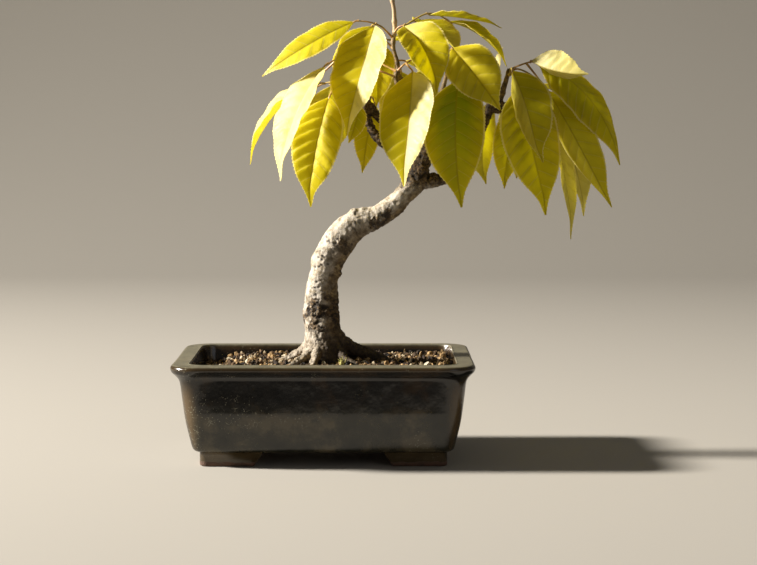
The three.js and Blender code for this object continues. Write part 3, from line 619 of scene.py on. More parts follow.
# Each kind of grit: its share of the chips, from and to, then its stone from dark to pale
KINDS = [
    ("golden_clay_grit", 0.0, 0.38, chipped_stone("#4b3b1d", "#7c623b", "#a88b60")),
    ("brown_clay_grit", 0.38, 0.68, chipped_stone("#332412", "#5a442b", "#7e6444")),
    ("cream_pumice_grit", 0.68, 0.8, chipped_stone("#85755a", "#ab9c80", "#cabfa6")),
    ("dark_lava_grit", 0.8, 1.0, chipped_stone("#120b06", "#26190e", "#40301e")),
]
for name, lowest, highest, build in KINDS:
    grit = new_piece(name, strewn_points, strewn_faces)
    grow(grit, grit_tree, {
        "Spacing": GRAIN_SPACING * MILLIMETRE, "Seed": 21, "From Share": lowest, "To Share": highest,
        "Smallest": [side * MILLIMETRE for side in SMALLEST_CHIP],
        "Largest": [side * MILLIMETRE for side in LARGEST_CHIP], "Detail": 2,
        "Heave": [way * MILLIMETRE for way in GRAIN_HEAVE], "Roughness": GRAIN_BROKEN * MILLIMETRE,
        "Material": new_material(name, build),
    })
    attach(grit, "root")
    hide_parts("soil")

# The wood is one grown piece: a leaning trunk with a flared base of surface roots, limbs that turn up
# behind the leaves, and thin shoots. Each limb is a line with a radius at each of its points. The heavy
# wood is drawn into one skin, which bark and old pruning wounds have roughened.
TRUNK = (
    [(0, 0, 58), (0, 0, 76), (-1, 0, 87), (-2, 0, 100), (-3, 0, 116), (-2.5, 0, 131), (-1, 0, 145),
     (3, 0, 159), (10, 0, 172), (19, 0, 183), (30, 0, 190), (43, 0, 194.5), (55, 0, 202.5), (65, 0, 213),
     (74, 0, 223), (78, 0, 236), (84, 0, 250), (86, 0, 261), (84, 0, 272)],
    [16, 19, 17, 14.8, 14.3, 13.6, 12.2, 12.8, 13.4, 12.8, 11, 9.6, 8.4, 8.4, 9.4, 7.6, 6.4, 5.6, 4.8],
)
ROOTS = [
    ([(-5, 1, 94), (-17, 2, 86), (-27, 4, 80), (-37, 8, 75), (-46, 12, 67)], [7, 4.2, 3, 2.4, 1.8]),
    ([(-6, -6, 90), (-15, -17, 82), (-25, -28, 76.5), (-34, -37, 68)], [6, 3.6, 2.8, 2]),
    ([(-4, -8, 90), (-7, -20, 82), (-9, -31, 77), (-12, -43, 68)], [6, 3.8, 3, 2]),
    ([(6, -5, 90), (15, -16, 81), (27, -26, 75), (38, -34, 68)], [6, 3.4, 2.4, 1.8]),
    ([(5, 1, 97), (17, 4, 88), (31, 7, 82), (48, 10, 76.5), (64, 13, 67)], [9.5, 7, 5.4, 3.8, 2.2]),
    ([(2, 6, 93), (8, 19, 84), (12, 33, 77), (15, 45, 68)], [8, 5, 3.4, 2.2]),
    ([(-5, 5, 93), (-15, 17, 83), (-26, 30, 76.5), (-35, 40, 68)], [7.5, 4.2, 3, 2]),
]
LIMBS = [
    ([(74, 0, 222), (88, 0, 223), (99, 2, 226), (112, 4, 234), (121, 6, 248), (128, 6, 266),
      (134, 5, 280), (140, 4, 284)], [6.4, 5.2, 4.6, 4.4, 4, 3.6, 3.6, 4]),
    ([(80, 0, 242), (66, 1, 248), (53, 2, 252), (43, 3, 258), (37, 4, 268), (33, 5, 279), (32, 5, 290)],
     [5.2, 4.4, 4.1, 3.9, 3.7, 3.6, 3.8]),
    ([(86, 2, 258), (74, 6, 263), (60, 8, 266), (46, 8, 273), (37, 6, 284), (32, 5, 291)],
     [4.8, 4.2, 3.8, 3.6, 3.5, 3.6]),
]
SHOOTS = [
    ([(85, 0, 268), (75, 0, 283), (63, 0, 296), (58, 0, 306), (59, 0, 314), (58, 0, 323), (56, 0, 331),
      (55.5, 0, 338), (57, 0, 347), (56.5, 0, 358), (54.5, 0, 370), (55, 1, 384), (57, 2, 396)],
     [4.6, 3.4, 2.3, 1.8, 1.6, 1.5, 1.5, 1.7, 1.8, 1.7, 1.5, 1.2, 1]),
    ([(86, 1, 262), (91, 4, 276), (95, 6, 291), (98, 5, 305), (100, 3, 318), (101, 0, 328)],
     [3.8, 2.8, 2.1, 1.7, 1.4, 1.3]),
    ([(140, 4, 283), (144, 5, 294), (147, 5, 305), (150, 4, 314)], [3.6, 2.5, 2, 1.6]),
    ([(32, 6, 289), (26, 20, 292), (18, 33, 295), (12, 45, 299)], [3.2, 2.3, 1.9, 1.6]),
    ([(63, 0, 296), (62, 14, 305), (60, 28, 311), (58, 40, 315)], [2.8, 2.1, 1.8, 1.5]),
    ([(86, 1, 266), (94, 16, 279), (100, 30, 289), (104, 42, 295)], [3.4, 2.5, 2, 1.6]),
    ([(140, 5, 283), (148, 16, 285), (156, 29, 289), (162, 41, 294)], [3.4, 2.4, 2, 1.6]),
]
# Knots at the limbs' ends and forks, as (middle, radius), then swellings and pruning scars on the wood,
# as (middle, reach, rise, how dark and sunken the middle is)
KNOTS = [
    ((140, 4, 284), 6.4), ((134, 2, 283), 4), ((32, 5, 290), 5.4), ((88, 0, 224), 6),
    ((96, -2, 228), 4.6), ((79, -5, 232), 5),
]
SCARS = [
    ((24, -3, 198), 4.5, 3.2, 0.5), ((31, -3, 199), 3.5, 1.8, 0.2), ((-13, -3, 162), 7, 1.8, 0.1),
    ((-15, -5, 118), 7, 1.6, 0.5), ((12.5, -4, 147.5), 3.5, 3.2, 0.7), ((36, -6, 177), 5, 2, 0.7),
    ((44, -8, 189), 6, 0.8, 1), ((76, -3, 206), 4, 1.8, 0.6), ((12, -9, 166), 8, 1.4, 0.3),
    ((-4, -12, 128), 5, 1, 0.2), ((9, -9, 120), 5, 1.2, 0.6), ((0, -13, 104), 6, 1.2, 0.4),
    ((62, -6, 204), 4.5, 1.2, 0.2), ((50, -6, 203), 4, 0.8, 0.5),
]
BARK_VOXEL = 0.68
BARK_LUMPS = 0.8
ROOT_LUMPS = 0.45
BARK_CRUST = 1.1
BARK_GRAIN = 0.65
BARK_PIT = 0.8
PIT_SPACING = 4.2
# Heights between which the bark changes: lumpy and rough on the roots, corky in a band above them and
# under the bend, painted in shade on the foot's side away from the light, soiled near the grit, pitted
# up to the limbs, and rough and brown on them
LUMPY_ROOTS = (116, 96)
ROOT_BARK = (104, 88)
BAND_STARTS = (97, 106)
BAND_ENDS = (137, 126)
BEND_BARK = (158, 176)
SHADED_FOOT_BARK = (112, 86)
SOILED_BARK = (112, 84)
PITTED_BARK = (230, 160)
LIMB_BARK = (210, 226)
BROWN_BARK = (212, 230)

# A line gets a round skin, at each point as wide as the line's reach there says
tube_tree, given = new_tree("tube_along_a_line", {"Sides": "Int", "Material": "Material"})
line = add(tube_tree, "GeometryNodeMeshToCurve", {"Mesh": given["Geometry"]})
reach = add(tube_tree, "GeometryNodeInputNamedAttribute", {"Name": "reach"})
section = add(tube_tree, "GeometryNodeCurvePrimitiveCircle", {
    "Resolution": given["Sides"], "Radius": 1.0,
})
skin = add(tube_tree, "GeometryNodeCurveToMesh", {
    "Curve": line, "Profile Curve": section, "Scale": reach, "Fill Caps": True,
})
solid = add(tube_tree, "GeometryNodeRealizeInstances", {"Geometry": skin})
painted = add(tube_tree, "GeometryNodeSetMaterial", {"Geometry": solid, "Material": given["Material"]})
add(tube_tree, "NodeGroupOutput", {0: painted})


def line_piece(name, lines):
    """A piece of lines, each given as points and radii in millimetres, for the tube tree to clothe."""
    edges = []
    start = 0
    for points, _ in lines:
        edges += [(start + i, start + i + 1) for i in range(len(points) - 1)]
        start += len(points)
    mesh = bpy.data.meshes.new(name)
    mesh.from_pydata(place(np.vstack([points for points, _ in lines])).tolist(), edges, [])
    store(mesh, "reach", np.concatenate([radii for _, radii in lines]) * MILLIMETRE)
    piece = bpy.data.objects.new(name, mesh)
    bpy.context.scene.collection.objects.link(piece)
    return piece


def smooth_limb(limb, per_span):
    """A limb's line and radii, smoothed together."""
    both = smooth_line(np.column_stack(limb), per_span)
    return both[:, :3], both[:, 3]


def grain_of(points, limbs):
    """Each point's place in the grain of the limb nearest to it: two distances across, one along."""
    middles = np.vstack([line for line, _ in limbs])
    nearest = kdtree.KDTree(len(middles))
    axes = []
    runs = []
    for line, _ in limbs:
        step = np.diff(line, axis=0)
        runs.append(np.concatenate([[0], np.cumsum(np.linalg.norm(step, axis=1))]))
        side = np.array([0.1, 1.0, 0.05])
        for along in np.vstack([step, step[-1:]]):
            along = along / np.linalg.norm(along)
            side = side - along * side.dot(along)
            side /= np.linalg.norm(side)
            axes.append([np.cross(side, along), side, along])
    for index, middle in enumerate(middles):
        nearest.insert(middle, index)
    nearest.balance()
    found = np.array([nearest.find(point)[1] for point in points])
    grain = np.einsum("nij,nj->ni", np.array(axes)[found], points - middles[found])
    grain[:, 2] += np.concatenate(runs)[found]
    return grain


def ash_bark(tree):
    """Young ash bark: thin, smooth and silvery beige, with dark brown corky crust in patches, small dark
    pits, and browner wood on the upper limbs. The side turned from the light is painted a shaded brown,
    and the foot on that side and the hollows of the crust near black, all painted shade. New growth is
    smooth and pale tan. Its patterns follow the grain, which is kept in millimetres."""
    grain = add(tree, "ShaderNodeAttribute", attribute_name="grain").outputs["Vector"]
    drawn = add(tree, "ShaderNodeVectorMath", {0: grain, 1: (1.0, 1.0, 1.3)}, operation="MULTIPLY")
    mottle = add(tree, "ShaderNodeTexNoise", {
        "Vector": drawn, "Scale": 1 / 6, "Detail": 8.0, "Roughness": 0.68,
    })
    pale = add(tree, "ShaderNodeValToRGB", {"Fac": mottle}, stops=[
        (0.3, "#67573f"), (0.42, "#918570"), (0.54, "#b0a799"), (0.75, "#c6c0b5"),
    ])
    brown = add(tree, "ShaderNodeValToRGB", {"Fac": mottle}, stops=[
        (0.3, "#2c1f11"), (0.45, "#5c4829"), (0.58, "#8a734a"), (0.72, "#ad9a6c"),
    ])
    older_and_shaded, young, rugged, pit = (
        add(tree, "ShaderNodeAttribute", attribute_name=name).outputs["Fac"]
        for name in ("shade", "young", "rugged", "pit")
    )
    crumbs = add(tree, "ShaderNodeTexNoise", {
        "Vector": grain, "Scale": 1 / 2.6, "Detail": 9.0, "Roughness": 0.7,
    })
    level = add(tree, "ShaderNodeMath", {0: rugged, 1: 0.42, 2: crumbs}, operation="MULTIPLY_ADD")
    corky = add(tree, "ShaderNodeMapRange", {"Value": level, "From Min": 0.74, "From Max": 0.9})
    bent = add(tree, "ShaderNodeVectorMath", {
        0: crumbs.outputs["Color"], 1: (3.0, 3.0, 3.0), 2: grain,
    }, operation="MULTIPLY_ADD")
    cells = add(tree, "ShaderNodeTexVoronoi", {
        "Vector": bent, "Scale": 1 / 3.6,
    }, feature="DISTANCE_TO_EDGE")
    crack = add(tree, "ShaderNodeMapRange", {"Value": cells, "From Min": 0.1, "From Max": 0.02})
    deep = add(tree, "ShaderNodeMath", {0: crack, 1: rugged}, operation="MULTIPLY")
    sunken_and_shaded = add(tree, "ShaderNodeMath", {0: deep, 1: pit}, operation="MAXIMUM")
    colour = pale
    # The shade and pit shares carry painted shade as well as the browner wood, pits and cracks
    for share, over in (
        (older_and_shaded, brown), (young, linear("#bfa47e")), (corky, linear("#6a5434")),
        (sunken_and_shaded, linear("#1a110a")),
    ):
        colour = add(tree, "ShaderNodeMixRGB", {"Fac": share, "Color1": colour, "Color2": over})
    fibres = add(tree, "ShaderNodeTexNoise", {
        "Vector": drawn, "Scale": 1 / 1.3, "Detail": 6.0, "Roughness": 0.7,
    })
    relief = add(tree, "ShaderNodeBump", {"Height": fibres, "Strength": 0.8, "Distance": 0.0005})
    strength = add(tree, "ShaderNodeMath", {0: rugged, 1: 0.7, 2: 0.3}, operation="MULTIPLY_ADD")
    bumps = add(tree, "ShaderNodeBump", {
        "Height": level, "Strength": strength, "Distance": 0.0016, "Normal": relief,
    })
    return add(tree, "ShaderNodeBsdfPrincipled", {
        "Base Color": colour, "Roughness": 0.74, "Normal": bumps,
    })


bark = new_material("young_ash_bark", ash_bark)
# A knot is a ball, drawn as a short line that stands nearly upright
knot_lines = []
for middle, radius in KNOTS:
    rise = np.linspace(-1, 1, 9)
    points = np.array(middle) + np.outer(rise * radius * 0.95, (0.15, 0.1, 1))
    knot_lines.append((points, radius * np.sqrt(np.maximum(1 - rise**2, 0.04))))
heavy = [smooth_limb(limb, 6) for limb in [TRUNK, *ROOTS, *LIMBS]]
trunk = line_piece("trunk_and_limbs", heavy + knot_lines)
grow(trunk, tube_tree, {"Sides": 22, "Material": bark})
remesh = trunk.modifiers.new("one_skin", "REMESH")
remesh.mode = "VOXEL"
remesh.voxel_size = BARK_VOXEL * MILLIMETRE
soften = trunk.modifiers.new("soften", "SMOOTH")
soften.factor = 0.5
soften.iterations = 8
apply_modifiers(trunk)
trunk.data.shade_smooth()

# Where the bark is rugged, then the lumps, crust, scars and pits that move the skin, and then what the
# material reads at each point
at = mesh_vectors(trunk.data, "co")
out = mesh_vectors(trunk.data, "normal")
grain = grain_of(at, heavy)
height = at[:, 2]
band = smoothstep(-0.4, 0, fractal(at, 12, 2))
band *= smoothstep(*BAND_ENDS, height) * smoothstep(*BAND_STARTS, height)
patches = smoothstep(-0.15, 0.2, fractal(at, 17, 2))
rugged = np.maximum.reduce([
    0.3 * smoothstep(*ROOT_BARK, height),
    band,
    0.85 * patches * smoothstep(*BEND_BARK, height) * smoothstep(0.5, 0.0, out[:, 2]),
    smoothstep(*LIMB_BARK, height),
])
lumps = BARK_LUMPS * fractal(grain * (1, 1, 0.8), 11, 4)
lumps += ROOT_LUMPS * fractal(grain * (1, 1, 0.4), 2.4, 2) * smoothstep(*LUMPY_ROOTS, height)
along_grain = grain * (1, 1, 1.2) / 5
ridges = np.array([noise.ridged_multi_fractal(Vector(p), 0.9, 2.0, 3, 1.0, 2.0) for p in along_grain])
crust = BARK_CRUST * (ridges - 1.1) * (0.25 + 0.75 * rugged)
crust += BARK_GRAIN * fractal(grain, 3.2, 2) * (0.55 + 0.45 * rugged)
cells = np.array([noise.voronoi(Vector(p))[0][0] for p in grain * (1, 1, 1.6) / PIT_SPACING])
scattered = smoothstep(0, 0.3, fractal(grain, 12, 2))
pit = scattered * smoothstep(0.42, 0.22, cells) * smoothstep(*PITTED_BARK, height)
swell = np.zeros(len(at))
for middle, spread, rise, dark in SCARS:
    off = np.linalg.norm((at - middle) * (1, 0.8, 1), axis=1) / spread
    swell += rise * np.exp(-1.6 * off**2) * (1 - 0.9 * dark * np.exp(-14 * off**2))
    pit = np.maximum(pit, dark * smoothstep(0.55, 0.15, off + 0.2 * ridges - 0.2))
move_points(trunk.data, at + out * (lumps + crust + swell - BARK_PIT * pit)[:, None])
store(trunk.data, "grain", grain)
# Painted shade: the foot of the trunk on the side away from the light is darkened brown and near black
shaded_foot = smoothstep(*SHADED_FOOT_BARK, height) * smoothstep(-8, 6, at[:, 0] + 4 * fractal(at, 14, 2))
# Painted shade: the hollows of the crust are darkened near black
shaded_hollows = (0.25 + 0.65 * rugged) * smoothstep(0.9 + 0.3 * rugged, 0.5 + 0.2 * rugged, ridges)
# The pit attribute also carries the painted shade of the foot and of the crust's hollows
store(trunk.data, "pit", np.maximum.reduce([0.85 * pit, shaded_hollows, 0.8 * shaded_foot]))
store(trunk.data, "rugged", rugged)
store(trunk.data, "young", np.zeros(len(at)))
# Painted shade: the side turned from the light is painted a shaded brown
painted_shade_side = smoothstep(-0.1, 0.7, out[:, 0] + 0.3 * fractal(at, 9, 2))
upper_limbs = 0.85 * smoothstep(*BROWN_BARK, height)
near_soil = 0.3 * smoothstep(*SOILED_BARK, height)
store(trunk.data, "shade", np.maximum.reduce([upper_limbs, near_soil, 0.95 * painted_shade_side, shaded_foot]))
trunk.data.materials.clear()
trunk.data.materials.append(bark)
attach(trunk, "root")
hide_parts("trunk_and_branches")

# The young shoots grow on from the limbs' ends. They are thin, smooth wood, tan where it is new, and
# swell a little at each bud.
BUD_SPACING = 17
BUD_SWELL = 0.3
BUD_REACH = 1.8
SHOOT_SWAY = 0.35
# Heights between which the wood turns new, and how much lower it does on the shoot that stands here
NEW_WOOD = (330, 348)
LOWERED_BY = 34
LOWERED_AT = 99
shoot_lines = []
for number, shoot in enumerate(SHOOTS):
    points, radii = smooth_limb(shoot, 12)
    run = np.concatenate([[0], np.cumsum(np.linalg.norm(np.diff(points, axis=0), axis=1))])
    to_node = np.abs((run / BUD_SPACING + 0.37 * number) % 1 - 0.5) * BUD_SPACING
    radii = radii * (1 + BUD_SWELL * np.exp(-((to_node / BUD_REACH) ** 2)))
    wavy = np.column_stack([np.sin(run / 4 + number), np.cos(run / 5), np.zeros(len(run))])
    points = points + SHOOT_SWAY * wavy
    shoot_lines.append((points, radii))
shoots = line_piece("young_shoots", shoot_lines)
grow(shoots, tube_tree, {"Sides": 12, "Material": bark})
shoots.data.shade_smooth()
at = mesh_vectors(shoots.data, "co")
out = mesh_vectors(shoots.data, "normal")
grain = grain_of(at, shoot_lines)
young = smoothstep(*NEW_WOOD, at[:, 2] + LOWERED_BY * (np.abs(at[:, 0] - LOWERED_AT) < 6))
move_points(shoots.data, at + out * (0.22 * (1 - young) * fractal(at, 3, 2))[:, None])
store(shoots.data, "grain", grain)
store(shoots.data, "pit", 0.6 * (1 - young) * smoothstep(0.15, 0.5, fractal(at, 2.2, 2)))
store(shoots.data, "rugged", 0.45 * (1 - young))
store(shoots.data, "young", young)
store(shoots.data, "shade", 0.95 * (1 - young))
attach(shoots, "root")
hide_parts("trunk_and_branches")

# A tuft of living moss has settled on the grit before the roots and holds on by itself. It is a handful
# of short shoots pressed together, each beaded with its tiny leaves.
MOSS_FOOT = (14.5, -28, 75)
MOSS_HEIGHT = 6.5
MOSS_SPREAD = (1.5, 1.2, 0.3)
MOSS_SPLAY = (1.3, 1, 1.4)
MOSS_SHOOTS = 16
# Radians of swelling and thinning along a shoot, for four or five beads
MOSS_SWELLS = 28


def living_moss(tree):
    """Living moss, dull and soft: yellow-green, mottled olive and straw from leaf to leaf."""
    place_at = add(tree, "ShaderNodeTexCoord").outputs["Object"]
    leafy = add(tree, "ShaderNodeTexNoise", {"Vector": place_at, "Scale": 1000 / 1.4, "Detail": 2.0})
    tone = add(tree, "ShaderNodeValToRGB", {"Fac": leafy}, stops=[(0.35, "#6d6a22"), (0.65, "#c6bf76")])
    return add(tree, "ShaderNodeBsdfPrincipled", {"Base Color": tone, "Roughness": 0.9})


draw = np.random.default_rng(31)
moss_lines = []
for _ in range(MOSS_SHOOTS):
    foot = draw.normal(MOSS_FOOT, MOSS_SPREAD)
    tip = draw.normal(foot + (0, 0, MOSS_HEIGHT), MOSS_SPLAY)
    climb = np.linspace(0, 1, 25)
    radii = (0.4 + 0.35 * np.sin(MOSS_SWELLS * climb)) * (1 - 0.5 * climb)
    moss_lines.append((foot + climb[:, None] * (tip - foot), radii))
moss = line_piece("moss_tuft", moss_lines)
grow(moss, tube_tree, {"Sides": 8, "Material": new_material("living_moss", living_moss)})
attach(moss, "root")
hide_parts("soil")

# Each compound leaf is one grown piece: a thin stalk from its shoot, and leaflets on short stalks of
# their own. A leaflet's blade is folded along its bowed midrib and quilted between sunken side veins,
# with fine forward teeth and a drawn out drip tip.
BLADE_THICK = 0.45
BLADE_CREST = 0.42
BLADE_ARCH = 0.12
PANEL_RISE = 1.2
MARGIN_WAVE = 0.04
TIP_DROOP = 0.03
SPINE_SWAY = 0.05
TOOTH_SPACING = 2.6
TOOTH_DEPTH = 0.75
# The points of one tooth: how far along it, and how far out
TOOTH_ALONG = (0, 0.5, 0.86)
TOOTH_OUT = (0, 0.62, 1)
VEIN_SPACING = 10.5
# How far a side vein runs forward for each millimetre that it runs out, and how it curves
VEIN_SLANT = 0.55
VEIN_CURVE = 0.4
STALK_RADIUS = 0.75
STALK_TAPER = (1.15, 0.75)
STALK_FOOT = (1.7, 1.6, 1.35, 1.12)
LEAFLET_STALK = (1.05, 0.75, 0.72, 0.3)
# Where the sun stands, for the halves that get a painted highlight
SUN = np.array((-0.9, 0.0, 0.43))
# Half width of a blade along its length, as shares, then where its points lie from midrib to margin
OUTLINE = [
    (0, 0.03), (0.04, 0.2), (0.1, 0.46), (0.2, 0.78), (0.32, 0.96), (0.43, 1), (0.55, 0.96),
    (0.67, 0.83), (0.77, 0.61), (0.85, 0.35), (0.91, 0.17), (0.96, 0.08), (1, 0.03),
]
BLADE_COLUMNS = (0, 0.035, 0.09, 0.17, 0.27, 0.38, 0.49, 0.6, 0.71, 0.81, 0.895, 0.96, 1)
# A leaf is its stalk's line and its leaflets. A leaflet is (where it leaves the stalk, base of the
# blade, tip, width, the way its upper side faces, bow of the midrib, twist, fold of each half, turn
# about the midrib, tone from pale -1 to green 1, the pale end partly a painted highlight on sunlit
# leaflets, and a green tone also sparing shaded leaflets the painted sun highlight)
LEAVES = {
    "leaf_apex_left": ([(56, 0, 338), (50, -3, 344), (45, -6, 348), (36, -8, 351), (26, -8, 352)], [
        ((28, -8, 352), (24, -8, 351), (-50, -10, 308), 24, (-0.15, -0.8, 0.55), 0.06, 0, 2, 0, 0.12),
        ((42, -7, 350), (41, -8, 348), (17, -28, 261), 53, (-0.12, -0.95, 0.35), 0.06, 3, 16, 28, 0),
        ((41, -6, 350), (38, 1, 348), (14, 24, 297), 30, (-0.35, 0.5, 0.6), 0.1, 0, 16, 0, 0.3),
    ]),
    "leaf_apex_right": ([
        (56, 0, 342), (60, -4, 347), (66, -7, 349), (74, -6, 354), (83, -4, 358), (92, -1, 357),
        (99, 1, 353),
    ], [
        ((65, -7, 349), (64, -12, 347), (91, -42, 295), 40, (0.2, -0.8, 0.6), 0.13, -4, 26, 8, 0.05),
        ((69, -7, 351), (73, 1, 352), (112, 40, 326), 34, (0.3, 0.2, 0.9), 0.1, 0, 16, 0, 0.35),
        ((82, -4, 358), (85, -3, 357), (143, -6, 348), 34, (0.12, -0.02, 1), 0.03, 0, 12, 0, 0.3),
        ((97, 0, 354), (101, 3, 352), (148, -4, 317), 32, (0.4, -0.25, 0.9), 0.1, 0, 14, 0, 0.35),
    ]),
    "leaf_upper_left": ([
        (58, 0, 312), (50, 3, 316), (43, 5, 319), (22, 5, 322), (9, 0, 321), (1, -7, 316),
    ], [
        ((3, -5, 318), (0, -13, 315), (-37, -44, 226), 44, (-0.6, -0.7, 0.42), 0.07, 4, 12, 12, -0.45),
        ((10, 2, 321), (-13, 14, 300), (-64, 28, 238), 36, (-0.6, -0.2, 0.8), 0.1, 0, 20, 0, 0),
    ]),
    "leaf_middle_left": ([
        (58, 0, 307), (48, -2, 311), (41, 0, 312), (21, 4, 309), (10, 3, 300), (5, -1, 293),
    ], [
        ((6, 0, 295), (4, -3, 291), (-13, -21, 204), 41, (-0.2, -0.95, 0.25), 0.05, 0, 8, 2, 0.1),
        ((13, 4, 304), (6, 11, 301), (-8, 38, 220), 36, (-0.1, 0.95, 0.25), 0.07, 0, 16, 0, 0.3),
    ]),
    "leaf_upper_behind": ([(56, 0, 330), (50, 10, 336), (46, 24, 338), (43, 36, 334)], [
        ((49, 13, 336), (46, 16, 334), (43, 16, 284), 28, (-0.1, -0.95, 0.3), 0.05, 0, 16, 0, 0.2),
        ((44, 34, 335), (41, 40, 332), (5, 60, 310), 34, (-0.3, 0.35, 0.9), 0.1, 0, 16, 0, 0.3),
        ((46, 23, 338), (54, 28, 338), (106, 52, 320), 36, (0.2, 0.15, 0.97), 0.1, 0, 16, 0, 0.4),
    ]),
    "leaf_centre": ([(59, 0, 312), (64, -4, 317), (71, 2, 321), (79, 14, 321), (85, 26, 318)], [
        ((66, -3, 318), (71, -17, 311), (62, -61, 222), 50, (-0.14, -0.95, 0.25), 0.05, 0, 15, 24, 0),
        ((83, 24, 319), (84, 29, 316), (74, 54, 238), 34, (-0.2, 0.93, 0.35), 0.08, 0, 16, 0, 0.3),
    ]),
    "leaf_middle_top": ([
        (101, 0, 327), (103, -3, 330), (106, -7, 326), (108, -9, 316), (108, -10, 308),
    ], [
        ((108, -10, 310), (108, -10, 305), (109, -36, 204), 51, (-0.2, -0.95, 0.22),
         0.05, 0, 10, 4, 0.9),
        ((103, -4, 330), (103, -9, 330), (140, -32, 281), 42, (0.15, -0.85, 0.5),
         0.05, 6, 14, 10, -0.05),
    ]),
    "leaf_right_bud": ([(140, 4, 286), (140, 4, 292), (140, 5, 296)], [
        ((140, 5, 295), (140, 5, 298), (144, 9, 332), 20, (-0.95, -0.3, 0.1), 0.06, 0, 10, 0, -0.1),
    ]),
    "leaf_right_top": ([(150, 4, 313), (156, 0, 316), (165, -5, 319), (170, -6, 319)], [
        ((166, -5, 319), (166, -12, 320), (208, -41, 308), 33, (-0.6, -0.68, -0.42),
         0.08, 0, -45, 0, -0.85),
        ((169, -6, 319), (173, -2, 318), (240, -5, 237), 42, (0.5, -0.62, 0.6), 0.14, 0, -14, 6, 0.35),
        ((163, -4, 318), (180, -6, 296), (229, -28, 203), 35, (0.2, -0.9, 0.35), 0.07, 0, -35, 40, 0.2),
    ]),
    "leaf_right_front": ([(150, 3, 309), (151, -3, 314), (151, -9, 314)], [
        ((151, -7, 314), (151, -11, 312), (171, -40, 239), 42, (0, -0.95, 0.3), 0.07, 0, -34, 38, 0.2),
        ((150, 0, 312), (158, 1, 299), (180, -15, 197), 47, (0, -0.97, 0.2), 0.05, 0, 9, -6, 0.25),
    ]),
    "leaf_right_hanging": ([(149, 5, 310), (157, 10, 314), (170, 14, 308), (180, 14, 297)], [
        ((177, 14, 301), (181, 12, 293), (203, 4, 176), 36, (0.88, -0.45, 0.2), 0.01, 0, 12, 0, -0.6),
        ((175, 15, 304), (188, 26, 288), (216, 36, 194), 34, (0.6, 0.6, 0.4), 0.07, 0, 16, 0, -0.5),
    ]),
    "leaf_right_rear": ([(138, 9, 287), (137, 14, 292), (136, 21, 291)], [
        ((136, 19, 291), (135, 25, 287), (132, 38, 220), 32, (-0.5, 0.8, 0.3), 0.07, 0, 16, 0, 0.4),
    ]),
    "leaf_right_inner": ([(151, 21, 287), (155, 21, 291), (159, 22, 289)], [
        ((157, 22, 290), (159, 22, 285), (147, 31, 216), 28, (-0.1, -0.95, 0.2), 0.05, 0, 16, 0, 0.6),
    ]),
    "leaf_left_small": ([(31, -1, 290), (30, -5, 291), (29, -7, 288)], [
        ((29, -6, 289), (28, -8, 285), (20, -9, 254), 16, (0.2, -0.9, 0.3), 0.06, 0, 16, 0, 0.5),
    ]),
    "leaf_left_hanging": ([(33, 9, 291), (35, 18, 294), (38, 25, 291)], [
        ((38, 24, 292), (41, 28, 286), (31, 28, 229), 22, (-0.2, -0.95, 0.1), 0.05, 0, 16, 0, 0.1),
    ]),
    "leaf_back_left": ([(13, 44, 299), (7, 51, 304), (-2, 56, 303), (-12, 57, 298)], [
        ((-10, 57, 299), (-14, 56, 296), (-25, 62, 240), 32, (-0.3, 0.85, 0.4), 0.08, 0, 18, 0, 0.2),
        ((3, 54, 303), (7, 61, 299), (2, 77, 240), 34, (0, 0.95, 0.3), 0.06, 0, 20, 0, 0.3),
        ((-1, 55, 303), (-6, 49, 303), (-45, 38, 264), 30, (-0.6, -0.1, 0.8), 0.1, 0, 16, 0, 0.1),
    ]),
    "leaf_back_centre": ([(58, 39, 315), (58, 47, 321), (60, 55, 321), (62, 62, 316)], [
        ((62, 61, 317), (63, 63, 313), (67, 76, 232), 40, (0.05, 0.97, 0.25), 0.05, 0, 20, 0, 0.3),
        ((59, 50, 322), (52, 54, 323), (26, 74, 262), 36, (-0.4, 0.75, 0.6), 0.1, 0, 16, 0, 0.1),
        ((60, 53, 322), (66, 56, 322), (94, 67, 300), 26, (0.4, 0.4, 0.8), 0.12, 0, 16, 0, 0.3),
    ]),
    "leaf_back_middle": ([(103, 41, 295), (107, 48, 300), (113, 54, 299), (117, 60, 294)], [
        ((117, 59, 295), (118, 63, 291), (117, 77, 222), 38, (0.1, 0.95, 0.25), 0.06, 0, 18, 0, 0.4),
        ((109, 49, 300), (103, 52, 297), (84, 66, 236), 32, (-0.25, 0.9, 0.35), 0.06, 0, 22, 0, 0.2),
    ]),
    "leaf_back_right": ([(161, 40, 294), (164, 47, 299), (170, 52, 299), (177, 55, 295)], [
        ((176, 55, 296), (180, 56, 292), (213, 64, 214), 38, (0.5, 0.8, 0.35), 0.09, 0, 18, 0, 0.3),
        ((165, 49, 299), (163, 55, 296), (161, 75, 224), 36, (0, 0.95, 0.3), 0.06, 0, 20, 0, 0.3),
        ((169, 51, 299), (175, 46, 301), (209, 52, 281), 26, (0.4, 0.1, 0.9), 0.12, 0, 16, 0, 0.2),
    ]),
    "leaf_top_pair": ([(57, 2, 395.5), (58, 2, 398), (58, 2, 400)], [
        ((58, 2, 398.5), (56, 2, 400), (38, 0, 421), 12, (0.6, -0.2, 0.75), -0.1, 0, 20, 0, 0.2),
        ((58, 2, 398.5), (60, 3, 400), (77, 6, 419), 12, (-0.6, 0, 0.75), -0.1, 0, 20, 0, 0.2),
    ]),
}


def turned(vectors, axis, angle):
    """Vectors turned about an axis, each by its own angle."""
    along = (vectors * axis).sum(-1)[..., None] * axis
    return along + (vectors - along) * np.cos(angle) + np.cross(axis, vectors) * np.sin(angle)


